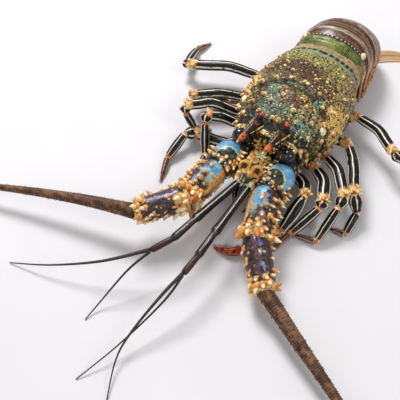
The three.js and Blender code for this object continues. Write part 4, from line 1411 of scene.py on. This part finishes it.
class LOBSTER_OT_eyes(Operator):
    """Make the eyes on their short stalks"""

    bl_idname = "lobster.eyes"
    bl_label = "Eyes"

    def execute(self, context):
        settings = context.scene.lobster_shell
        globe_paint = eye_paint(settings)
        stalk_paint = plate_paint("eye stalk", "1a1416", "4a3a48", "c9b070")
        for key, side in SIDES.items():
            centre = Vector((side * EYE["x"], EYE["y"], EYE["z"]))
            globe = ball(f"eye_{key}_globe", centre, settings.eye_radius / MM, (1, 0.9, 0.95), 32, 20)
            settle(globe, globe_paint, [f"eye_{key}"])
            root = centre + Vector((-8 * side, 3, -2))
            way = (centre - root).normalized()
            stops = [(root, 3.2, 3.2)]
            stops += [(centre - way * before, half, height) for before, half, height in EYE_CUP]
            skin(limb(f"eye_{key}_stalk", stops, 18), stalk_paint)
        return {"FINISHED"}


class LOBSTER_OT_feeler_plate(Operator):
    """Make the plate between the feelers, with its spines"""

    bl_idname = "lobster.feeler_plate"
    bl_label = "Feeler plate"

    def execute(self, context):
        half, top, bottom = PLATE["half"], PLATE["top"], PLATE["bottom"]
        back, front = PLATE["back"], PLATE["front"]
        middle_z = (top + bottom) / 2
        half_z = (top - bottom) / 2
        stops = [
            ((0, back - 0.5, middle_z), half, half_z),
            ((0, back - 8, middle_z + 0.3), half * 1.02, half_z + 0.3),
            ((0, back - 16, middle_z + 0.4), half * 1.04, half_z + 0.4),
            ((0, front + 5, middle_z + 0.5), half * 1.05, half_z + 0.5),
            ((0, front + 1, middle_z), half * 0.92, half_z * 0.9),
            ((0, front, middle_z - 0.5), half * 0.7, half_z * 0.6),
        ]
        plate = limb("feeler_plate_shell", smooth_stops(stops, 12), 20)
        finish = plate_paint("feeler plate", "1c1f18", "3f5a48", "d8cf8e")
        skin(plate, finish, ["feeler_plate"], swell=(3, 0.9))
        small = []
        great = []
        joints = []
        star = []
        for side in SIDES.values():
            great.append(standing((side * 4.2, front + 8, top - 2.6), (side * 0.1 + 0.12, -0.5, 0.8), 9, 4.2))
            small.append(standing((side * 4.4, front + 2, top - 7), (side * 0.2, -0.85, 0.35), 7, 2.9))
            joints.append(standing((side * 3.9, front - 1.5, 27.5), (0, -0.3, 1), 3.8, 3.1))
        for turn in range(0, 360, 60):
            angle = math.radians(turn)
            aim = (math.cos(angle), 0.8 * math.sin(angle), 0.55)
            star.append(standing((1.5, back - 9, top - 0.2), aim, 5.4, 1.3))
        chance = random.Random(9)
        for _ in range(PLATE_SPINES):
            y = chance.uniform(front + 1, back - 3)
            x = chance.uniform(-1, 1) * half * 0.95
            lean = Vector((x * 0.12, -0.7, 0.8))
            height = middle_z + (half_z + 0.2) * math.sqrt(max(0, 1 - (x / half / 1.05) ** 2))
            small.append(standing((x, y, height), lean, chance.uniform(1.6, 4.4), chance.uniform(0.7, 1.7)))
        pattern = spine_pattern("plate spine pattern", SPINE_PROFILE, 9, 0.2)
        blunt = spine_pattern("great spine pattern", GREAT_PROFILE, 16, 0.12)
        for name, shape, placings, seed, colours in (
            ("spines", pattern, small, 41,
             ("plate spines", "efc46a", "d07c2c", "f3dc9a", "2a1e12", 0.5)),
            ("great_spines", blunt, great, 43,
             ("great spines", "f6d27c", "e6a544", "3a1c0c", "6a4a1c", 0.68, 0)),
            ("joints", pattern, joints, 47,
             ("pale joints", "d9dbd6", "a3aeb4", "dfe2da", "3a3c34", 0.55)),
            ("star", pattern, star, 53,
             ("pale star", "e3e6b4", "c4cc86", "f1f3d2", "6d7040", 0.6)),
        ):
            material = spine_paint(*colours)
            plant(f"feeler_plate_{name}", shape, placings, seeded(seed), material)
        drop(pattern, blunt)
        return {"FINISHED"}


def spines_round(start, end, side, rows, chance):
    """Placings of spines round a limb. A row holds the shares along it, the turns round it with 0 for
    the outer side and 90 for the top, the distance from its axis, the lean, the length and the radius."""
    start, end = Vector(start), Vector(end)
    ahead = (end - start).normalized()
    outer = ahead.cross(UP).normalized() * -side
    lift = (UP - ahead * ahead.z).normalized()
    placings = []
    for shares, turns, reach, lean, length, radius in rows:
        for share, turn in itertools.product(shares, turns):
            angle = math.radians(turn + chance.uniform(-9, 9))
            out = outer * math.cos(angle) + lift * math.sin(angle)
            root = start.lerp(end, share + chance.uniform(-0.025, 0.025)) + out * (reach - 0.6)
            tilt = math.radians(lean + 22 * math.cos(angle))
            direction = out * math.sin(tilt) + ahead * math.cos(tilt)
            direction += Vector([chance.uniform(-0.25, 0.25) for _ in range(3)])
            size = chance.uniform(0.6, 1.3)
            placings.append(standing(root, direction, length * size, radius * (0.5 + 0.5 * size)))
    return placings


def make_dome(key, side, settings, chance):
    """The round dome on the base of a feeler, and the placings of the spines round it."""
    centre = Vector((side * DOME["x"], DOME["y"], DOME["z"]))
    dome = ball(f"feeler_{key}_dome", centre, 1, DOME["size"], 40, 28)
    roughen(dome, 5, 0.5)
    settle(dome, dome_paint(settings, centre + Vector((side * -3, -7, 4))))
    placings = []
    for i in range(DOME_SPINES):
        bearing = math.radians(-35 + 9.5 * i)
        height = math.radians(6 + 16 * (i % 2))
        way = Vector((-side * math.cos(bearing) * math.cos(height),
                      -math.sin(bearing) * math.cos(height), math.sin(height)))
        foot = centre + Vector([way[axis] * (DOME["size"][axis] - 0.5) for axis in range(3)])
        aim = way + Vector((0, -0.5, 0.5 * chance.random()))
        placings.append(standing(foot, aim, chance.uniform(2.6, 4.6), chance.uniform(1.0, 1.6)))
    return placings


class LOBSTER_OT_feelers(Operator):
    """Make the three broad segments of each feeler, with their spines"""

    bl_idname = "lobster.feelers"
    bl_label = "Feelers"

    def execute(self, context):
        settings = context.scene.lobster_feelers
        pattern = spine_pattern("feeler spine pattern", SPINE_PROFILE, 9, 0.25)
        spines_paint = spine_paint("feeler spines", "e2a856", "cc762e", "f7e6b0", "3a1a0e", 0.52, 0.2)
        paints = {
            "base": plate_paint("feeler base", "17131a", "3c4a3a", "c9bd84"),
            "middle": segment_paint("feeler middle", settings, 0.36),
            "outer": segment_paint("feeler outer", settings, -0.4),
        }
        for key, side in SIDES.items():
            joints = FEELERS[key]["joints"]
            chance = random.Random(60 + side)
            for (name, segment), start, end in zip(SEGMENTS.items(), joints, joints[1:]):
                stops = stations(start, end, segment["sizes"])
                if segment["capped"]:
                    stops = capped(stops)
                shell = limb(f"feeler_{key}_{name}_shell", smooth_stops(stops, 18), segment["sides"], side)
                skin(shell, paints[name], [f"feeler_{key}_{name}"], swell=segment["swell"])
                rows = segment["spines"] + (RIGHT_CLUSTER if (key, name) == ("R", "outer") else ())
                beds = []
                if name == "base":
                    beds.append(("dome", DOME_SEED, make_dome(key, side, settings, chance)))
                beds.append((name, segment["seed"], spines_round(start, end, side, rows, chance)))
                for part, seed, placings in beds:
                    label = f"feeler_{key}_{part}_spines"
                    plant(label, pattern, placings, seeded(seed), spines_paint)
        drop(pattern)
        return {"FINISHED"}


class LOBSTER_OT_whips(Operator):
    """Make the two long ringed whips"""

    bl_idname = "lobster.whips"
    bl_label = "Whips"

    def execute(self, context):
        settings = context.scene.lobster_feelers
        finish = whip_paint(settings)
        hair = spine_pattern("whip spine pattern", BRISTLE_PROFILE, 5, 0.2)
        hairs = bristle_paint("whip spines", "8a5a30")
        for key, side in SIDES.items():
            line = [Vector(point) for point in (FEELERS[key]["joints"][3], *FEELERS[key]["whip"])]
            taper = FEELERS[key]["taper"]

            def girth(share, taper=taper):
                return WHIP_TIP + WHIP_GAIN * (1 - share) ** taper

            length = sum((b - a).length for a, b in zip(line, line[1:]))
            rings = int(length / (settings.ring_spacing / MM))
            stops = []
            for i, (part, swell) in itertools.product(range(rings), WHIP_RING):
                radius = girth((i + part) / rings) * (1 + swell)
                stops.append((curve_point(line, (i + part) / rings), radius, radius))
            stops.append((line[-1], 0.3, 0.3))
            whip = limb(f"feeler_{key}_whip_rings", stops, WHIP_SIDES)
            raised = [bool(i // WHIP_SIDES % len(WHIP_RING)) for i in range(len(whip.data.vertices))]
            whip.data.attributes.new("ring", "FLOAT", "POINT").data.foreach_set("value", raised)
            settle(whip, finish, [f"feeler_{key}_whip"], 60)
            chance = random.Random(80 + side)
            placings = []
            for i in range(WHIP_SPINES):
                share = 0.02 + 0.9 * (i + chance.random()) / WHIP_SPINES
                radius = girth(share)
                ahead = (curve_point(line, share + 0.01) - curve_point(line, share - 0.01)).normalized()
                out = ahead.cross(UP).normalized() * chance.choice((-1, 1)) + UP * chance.uniform(-0.5, 0.6)
                out.normalize()
                size = (0.5 + radius / 5) * chance.uniform(0.6, 1.2)
                root = curve_point(line, share) + out * radius * 0.96
                placings.append(standing(root, out + ahead * 0.9, size, size * 0.22))
            plant(f"feeler_{key}_whip_spines", hair, over_floor(placings), seeded(37), hairs)
        drop(hair)
        return {"FINISHED"}


class LOBSTER_OT_small_feelers(Operator):
    """Make the small feelers: a stem of three segments and two thin whips on each side"""

    bl_idname = "lobster.small_feelers"
    bl_label = "Small feelers"

    def execute(self, context):
        settings = context.scene.lobster_feelers
        # Their last numbers are the strengths of the painted highlight line along the top
        finish = stem_paint("small feeler stem", settings.stem, 0.9)
        thin = stem_paint("small feeler whip", "2f1b1a", 0.15)
        for key, feeler in SMALL_FEELERS.items():
            joints = feeler["stem"]
            stops = []
            for start, end, rows in zip(joints, joints[1:], STEM):
                stops += stations(start, end, rows)
            stem = limb(f"small_feeler_{key}_shell", stops, 14)
            skin(stem, finish, [f"small_feeler_{key}_stem"], levels=2)
            for branch, girth, shift in BRANCHES:
                line = [Vector(joints[-1]) + UP * shift] + [Vector(point) for point in feeler[branch]]
                stops = []
                for i in range(THIN_STEPS + 1):
                    share = i / THIN_STEPS
                    radius = (THIN_TIP + (girth - THIN_TIP) * (1 - share) ** 1.3) * (1 if i % 2 else 0.9)
                    stops.append((curve_point(line, share), radius, radius))
                whip = limb(f"small_feeler_{key}_{branch}_rings", stops, 8)
                settle(whip, thin, [f"small_feeler_{key}_{branch}"], 60)
        return {"FINISHED"}


def mark(piece, attribute, value):
    """Writes an attribute, as a value or as a function of the share along the piece."""
    section = [tuple(each.vector) for each in piece.data.attributes["section"].data]
    piece.data.attributes.new(attribute, "FLOAT", "POINT")
    target = piece.data.attributes[attribute]
    for each, (_, _, reach) in zip(target.data, section):
        each.value = value(reach) if callable(value) else value


def at_joints(*joints):
    """1 at some shares of a limb, falling off over the length that goes with each."""
    return lambda reach: max(math.exp(-((reach - share) / width) ** 2) for share, width in joints)


def bristles(start, end, half, length, count, chance, spread=1.0):
    """Placings of bristles round a claw, leaning to its tip."""
    start, end = Vector(start), Vector(end)
    ahead = (end - start).normalized()
    across = ahead.cross(UP).normalized()
    lift = across.cross(ahead)
    placings = []
    for _ in range(count):
        share = chance.random()
        angle = chance.uniform(0, 2 * math.pi)
        out = across * math.cos(angle) + lift * math.sin(angle)
        root = start.lerp(end, share) + out * half * (1 - 0.75 * share) * 0.9
        direction = out * spread + ahead * chance.uniform(0.7, 1.4)
        placings.append(standing(root, direction, length * chance.uniform(0.5, 1.1), 0.11))
    return placings


def upper_leg(name, width, upper):
    hip, basis, bow, knee = (Vector(point) for point in upper)
    stops = [
        *stations(hip, basis, HIP_SIZES),
        *stations(basis, bow, NECK_SIZES),
        *stations(basis, bow, THIGH_SIZES, width),
        *stations(bow, knee, KNEE_SIZES, width),
    ]
    leg = limb(name, smooth_stops(stops, 30), 16)
    total = (basis - hip).length + (bow - basis).length + (knee - bow).length
    mark(leg, "joint", at_joints(((basis - hip).length / total, 0.075), (1, 0.08)))
    return leg


def lower_leg(name, width, upper, lower, girth=1.0, sweep=(0, 0, 0), warmth=1.0):
    """The two segments after the knee and the claw, joined. Girth, sweep and warmth are the claw's."""
    wrist, ankle, tip = (Vector(point) for point in lower)
    thick = width * girth
    claw = [
        (ankle, width * 0.42, width * 0.4),
        (between(ankle, tip, 0.12) + Vector(sweep) * 0.4, thick * 0.5, thick * 0.48),
        ((ankle + tip) / 2 + UP * 0.6 + Vector(sweep), thick * 0.46, thick * 0.42),
        (between(ankle, tip, 0.85) + Vector(sweep) * 0.5, thick * 0.24, thick * 0.22),
        (tip, 0.4, 0.4),
    ]
    pieces = []
    for stops, count, sides, warm in (
        (stations(upper[3], wrist, SHIN_SIZES, width), 18, 14, 0.0),
        (stations(wrist, ankle, ANKLE_SIZES, width), 16, 14, 0.25),
        (claw, 14, 12, warmth),
    ):
        piece = limb(name, smooth_stops(stops, count), sides)
        mark(piece, "warm", warm)
        mark(piece, "joint", at_joints((0, 0.07), (1, 0.08)))
        pieces.append(piece)
    return gather(name, pieces)


class LOBSTER_OT_legs(Operator):
    """Make the ten legs, with their knees, claws and bristles"""

    bl_idname = "lobster.legs"
    bl_label = "Legs"

    def execute(self, context):
        settings = context.scene.lobster_legs
        cream = context.scene.lobster_shell.cream
        finish = leg_paint("leg shell", settings)
        hairs = bristle_paint("claw bristles", "4a2a1a")
        spines_paint = spine_paint("knee spines", "d9924c", "efc283", cream, settings.joint, 0.4)
        pattern = spine_pattern("knee spine pattern", SPINE_PROFILE, 8)
        hair = spine_pattern("bristle pattern", BRISTLE_PROFILE, 4, 0.25)
        length = settings.bristle_length / MM
        for key, (width, upper, lower) in LEGS.items():
            chance = random.Random(key)
            thigh = upper_leg(f"leg_{key}_thigh", width, upper)
            skin(thigh, finish, [f"leg_{key}_upper"], swell=(3, 0.25))
            shin = lower_leg(f"leg_{key}_shin", width, upper, lower, *(RED_CLAW if key == "L1" else ()))
            skin(shin, finish, [f"leg_{key}_lower"])
            placings = []
            for start, end, row in (
                (upper[2], upper[3], ((0.88, 0.97), (10, 50, 90, 130, 170), width * 0.84, 44, 2.8, 1.1)),
                (upper[0], upper[1], ((0.84, 0.94), range(-20, 170, 38), 3.9, 60, 1.9, 0.85)),
                (upper[3], lower[0], ((0.1, 0.3), (20, 90, 150), width * 0.8, 40, 1.8, 0.7)),
            ):
                placings += spines_round(start, end, SIDES[key[0]], [row], chance)
            plant(f"leg_{key}_spines", pattern, over_floor(placings), seeded(19), spines_paint)
            wrist, ankle, tip = lower
            shaft = between(wrist, ankle, 0.6)
            placings = bristles(ankle, tip, width * 0.42, length, CLAW_BRISTLES, chance)
            placings += bristles(shaft, ankle, width * 0.8, length * 0.7, SHAFT_BRISTLES, chance, 0.7)
            plant(f"leg_{key}_bristles", hair, over_floor(placings), seeded(23), hairs)
        drop(pattern, hair)
        return {"FINISHED"}


class LOBSTER_OT_mouth(Operator):
    """Make the mouth parts and the folded limbs in front of them"""

    bl_idname = "lobster.mouth"
    bl_label = "Mouth"

    def execute(self, context):
        settings = context.scene.lobster_legs
        mouth = limb("mouth_parts", smooth_stops(MOUTH, 12), 16)
        skin(mouth, underside_paint(settings), ["mouth"], swell=(3, 1.2))
        finish = leg_paint("mouth limb shell", settings)
        hairs = bristle_paint("mouth bristles", "7a5230")
        hair = spine_pattern("mouth bristle pattern", BRISTLE_PROFILE, 4, 0.25)
        for key, side in SIDES.items():
            stops = [((side * x, y, z), half, height) for x, y, z, half, height in MOUTH_LEG]
            leg = limb(f"mouth_leg_{key}_shell", smooth_stops(stops, 24), 14)
            skin(leg, finish, [f"mouth_leg_{key}"])
            chance = random.Random(70 + side)
            placings = []
            for first, last, half, length, count, spread in MOUTH_BRISTLES:
                placings += bristles(stops[first][0], stops[last][0], half, length, count, chance, spread)
            plant(f"mouth_leg_{key}_bristles", hair, over_floor(placings), seeded(31), hairs)
        drop(hair)
        return {"FINISHED"}


class LOBSTER_OT_belly(Operator):
    """Make the breast plate between the legs"""

    bl_idname = "lobster.belly"
    bl_label = "Belly"

    def execute(self, context):
        clear()
        bpy.ops.mesh.primitive_cube_add(size=1)
        belly = bpy.context.object
        belly.name = "breast_plate"
        bpy.ops.object.mode_set(mode="EDIT")
        bpy.ops.mesh.select_all(action="SELECT")
        bpy.ops.mesh.subdivide(number_cuts=15)
        bpy.ops.object.mode_set(mode="OBJECT")
        for corner in belly.data.vertices:
            x, y, z = corner.co
            at = BELLY[0][0] + (y + 0.5) * (BELLY[-1][0] - BELLY[0][0])
            half, flat = along(BELLY, at)
            height = z + 0.5
            side = half if height > 0.5 else flat + (half - flat) * height * 2
            ridge = 1 - 0.05 * abs(math.sin(math.pi * at / BELLY_RIDGE))
            corner.co = (2 * x * side * ridge, at, height * BELLY_TOP)
        even_normals(belly)
        settle(belly, underside_paint(context.scene.lobster_legs), ["belly"])
        return {"FINISHED"}


def tail_point(i, share, turn):
    """A point of a tail plate: share of its length, turn degrees round from its top line."""
    backs, unders, halves, steps = zip(*HINGES[i:i + 2])
    back, under = (Vector((0, *start)).lerp(Vector((0, *end)), share) for start, end in (backs, unders))
    half, middle = (start + (end - start) * share for start, end in (halves, steps))
    bulge = math.sin(math.pi * min(max(share, 0), 1))
    flare = min(4.2 * max(share, -0.15) - 1.4, 0.7)
    rise = back - under
    height = rise.length + flare + bulge
    rise.normalize()
    half += flare + 0.6 * bulge
    away = abs(turn)
    angle = math.radians(min(away, 90))
    low = min(max(0, (away - 90) / (TAIL_LAST_TURN - 90)), 1)
    lobe = low * bulge ** 1.4
    belt = 0.34 * height
    x = half * max(math.sin(angle), 0) ** 0.9 * (1 - 0.16 * low) + LOBE["out"] * lobe
    up = belt + (height - belt) * max(math.cos(angle), 0) ** 0.95 - belt * low - LOBE["down"] * lobe
    return under + rise * up + Vector((middle + math.copysign(x, turn), 0, 0))


class LOBSTER_OT_tail(Operator):
    """Make the six overlapping plates of the abdomen, the flesh in them and the pale joint knobs"""

    bl_idname = "lobster.tail"
    bl_label = "Tail"

    def execute(self, context):
        settings = context.scene.lobster_tail
        first = tail_paint("first tail plate", settings, 1.0)
        others = tail_paint("tail plates", settings, 0.0)
        rings = []
        for i in range(len(HINGES) - 1):
            begin = PLATE_STARTS[min(i, 1)]

            def place(u, v, i=i, begin=begin):
                turn = (2 * u - 1) * TAIL_LAST_TURN
                share = begin + v * (PLATE_END - begin)
                point = tail_point(i, share, turn)
                furrow = FURROW_DEPTH * math.exp(-((share - FURROW_AT) / FURROW_REACH) ** 2)
                furrow *= min(1, max(0, (100 - abs(turn)) / 20))
                centre = (tail_point(i, share, 90) + tail_point(i, share, -90)) / 2
                return point + (centre - point).normalized() * furrow, (turn / TURN_UNIT, share, abs(turn))

            plate = drape(f"tail_{i + 1}_plate", *TAIL_GRID, place, settings.plate_thickness / MM)
            settle(plate, others if i else first, [f"tail_{i + 1}"])
            for share in (0.1, 0.5, 0.9):
                top, left, right = (tail_point(i, share, turn) for turn in (0, 90, -90))
                centre = (left + right) / 2
                half, height = (left - right).length / 2 - 2.2, (top - centre).length * 0.62
                rings.append((centre.lerp(top, 0.2), half, height))
        skin(limb("tail_flesh", rings[:-1], 20), flesh_paint("tail flesh", "5c4636", "8a6c54"))
        knobs = []
        for side in SIDES.values():
            centre = tail_point(1, 0.12, side * 50) + Vector((side * 0.9, 0, 0.6))
            knobs.append(ball("knob", centre, 2.5, (0.9, 1.4, 0.9), 20, 12))
        knob_paint = plate_paint("joint knobs", "f0dca6", "e2c489", "fff2cc")
        settle(gather("tail_knobs", knobs), knob_paint)
        return {"FINISHED"}


class LOBSTER_OT_tail_fan(Operator):
    """Make the five blades of the tail fan with their ribs"""

    bl_idname = "lobster.tail_fan"
    bl_label = "Tail fan"

    def execute(self, context):
        finish = fan_paint(context.scene.lobster_tail)
        for name, (root, heading, length, width) in FAN.items():
            turn = math.radians(heading)
            ahead = Vector((math.sin(turn), math.cos(turn), 0))
            across = ahead.cross(UP)
            outline, bow = (SLIM_OUTLINE, SLIM_BOW) if name == "uropod_L_outer" else (BLADE_OUTLINE, 0)

            def place(u, v):
                column = 2 * u - 1
                half = along(outline, v)[0] * width
                rib = 0.22 * abs(math.sin(column * 14)) * (1 - column ** 2)
                crown = 0.75 * (1 - 0.5 * column ** 2) - 0.25 * v
                reach = v + 0.03 * (1 - column ** 2) * (v > 0.9)
                sideways = column * half + 4 * bow * v * (1 - v)
                point = Vector(root) + ahead * (reach * length) + across * sideways
                return point + UP * (crown + rib), (column, v, v)

            blade = drape(f"{name}_blade", *BLADE_GRID, place, BLADE_THICKNESS)
            settle(blade, finish, [name])
        return {"FINISHED"}


class LOBSTER_OT_stage(Operator):
    """Set the floor, the lights and the camera"""

    bl_idname = "lobster.stage"
    bl_label = "Stage"

    def execute(self, context):
        clear()
        bpy.ops.mesh.primitive_plane_add(size=FLOOR_SIZE, location=(0, 0, 0))
        floor = bpy.context.object
        floor.name = "floor"
        floor.data.materials.append(floor_paint())
        world = bpy.data.worlds.new("soft studio")
        world.use_nodes = True
        background = world.node_tree.nodes["Background"]
        background.inputs["Color"].default_value = AROUND_COLOUR
        background.inputs["Strength"].default_value = AROUND_STRENGTH
        context.scene.world = world
        context.scene.view_settings.view_transform = "Standard"
        target = Vector(VIEW["target"]) * MM
        for place, size, power in LIGHTS:
            bpy.ops.object.light_add(type="AREA", location=place)
            light = bpy.context.object
            light.data.size = size
            light.data.energy = power
            light.rotation_euler = (target - light.location).to_track_quat("-Z", "Y").to_euler()
        azimuth, elevation = math.radians(VIEW["azimuth"]), math.radians(VIEW["elevation"])
        away = Vector((
            math.sin(azimuth) * math.cos(elevation),
            -math.cos(azimuth) * math.cos(elevation),
            math.sin(elevation),
        ))
        bpy.ops.object.camera_add(location=target + away * VIEW["distance"] * MM)
        camera = bpy.context.object
        camera.rotation_euler = away.to_track_quat("Z", "Y").to_euler()
        camera.data.lens = VIEW["lens"]
        camera.data.sensor_width = 36
        camera.data.clip_start = 0.01
        context.scene.camera = camera
        return {"FINISHED"}


PIECES = (
    LOBSTER_OT_stage,
    LOBSTER_OT_carapace,
    LOBSTER_OT_horns,
    LOBSTER_OT_eyes,
    LOBSTER_OT_feeler_plate,
    LOBSTER_OT_feelers,
    LOBSTER_OT_whips,
    LOBSTER_OT_small_feelers,
    LOBSTER_OT_legs,
    LOBSTER_OT_mouth,
    LOBSTER_OT_belly,
    LOBSTER_OT_tail,
    LOBSTER_OT_tail_fan,
)


class LOBSTER_PT_pieces(Panel):
    """The pieces of the lobster, each made by its own button"""

    bl_label = "Spiny lobster"
    bl_idname = "LOBSTER_PT_pieces"
    bl_space_type = "VIEW_3D"
    bl_region_type = "UI"
    bl_category = "Lobster"

    def draw(self, context):
        for piece in PIECES:
            self.layout.operator(piece.bl_idname)


SETTINGS = {
    "lobster_shell": ShellSettings,
    "lobster_feelers": FeelerSettings,
    "lobster_legs": LegSettings,
    "lobster_tail": TailSettings,
}
CLASSES = (*SETTINGS.values(), *PIECES, LOBSTER_PT_pieces)


def register():
    for each in CLASSES:
        bpy.utils.register_class(each)
    for name, group in SETTINGS.items():
        setattr(bpy.types.Scene, name, PointerProperty(type=group))


def unregister():
    for name in SETTINGS:
        delattr(bpy.types.Scene, name)
    for each in reversed(CLASSES):
        bpy.utils.unregister_class(each)


def main():
    register()
    for piece in PIECES:
        group, operator = piece.bl_idname.split(".")
        getattr(getattr(bpy.ops, group), operator)()


if __name__ == "__main__":
    main()
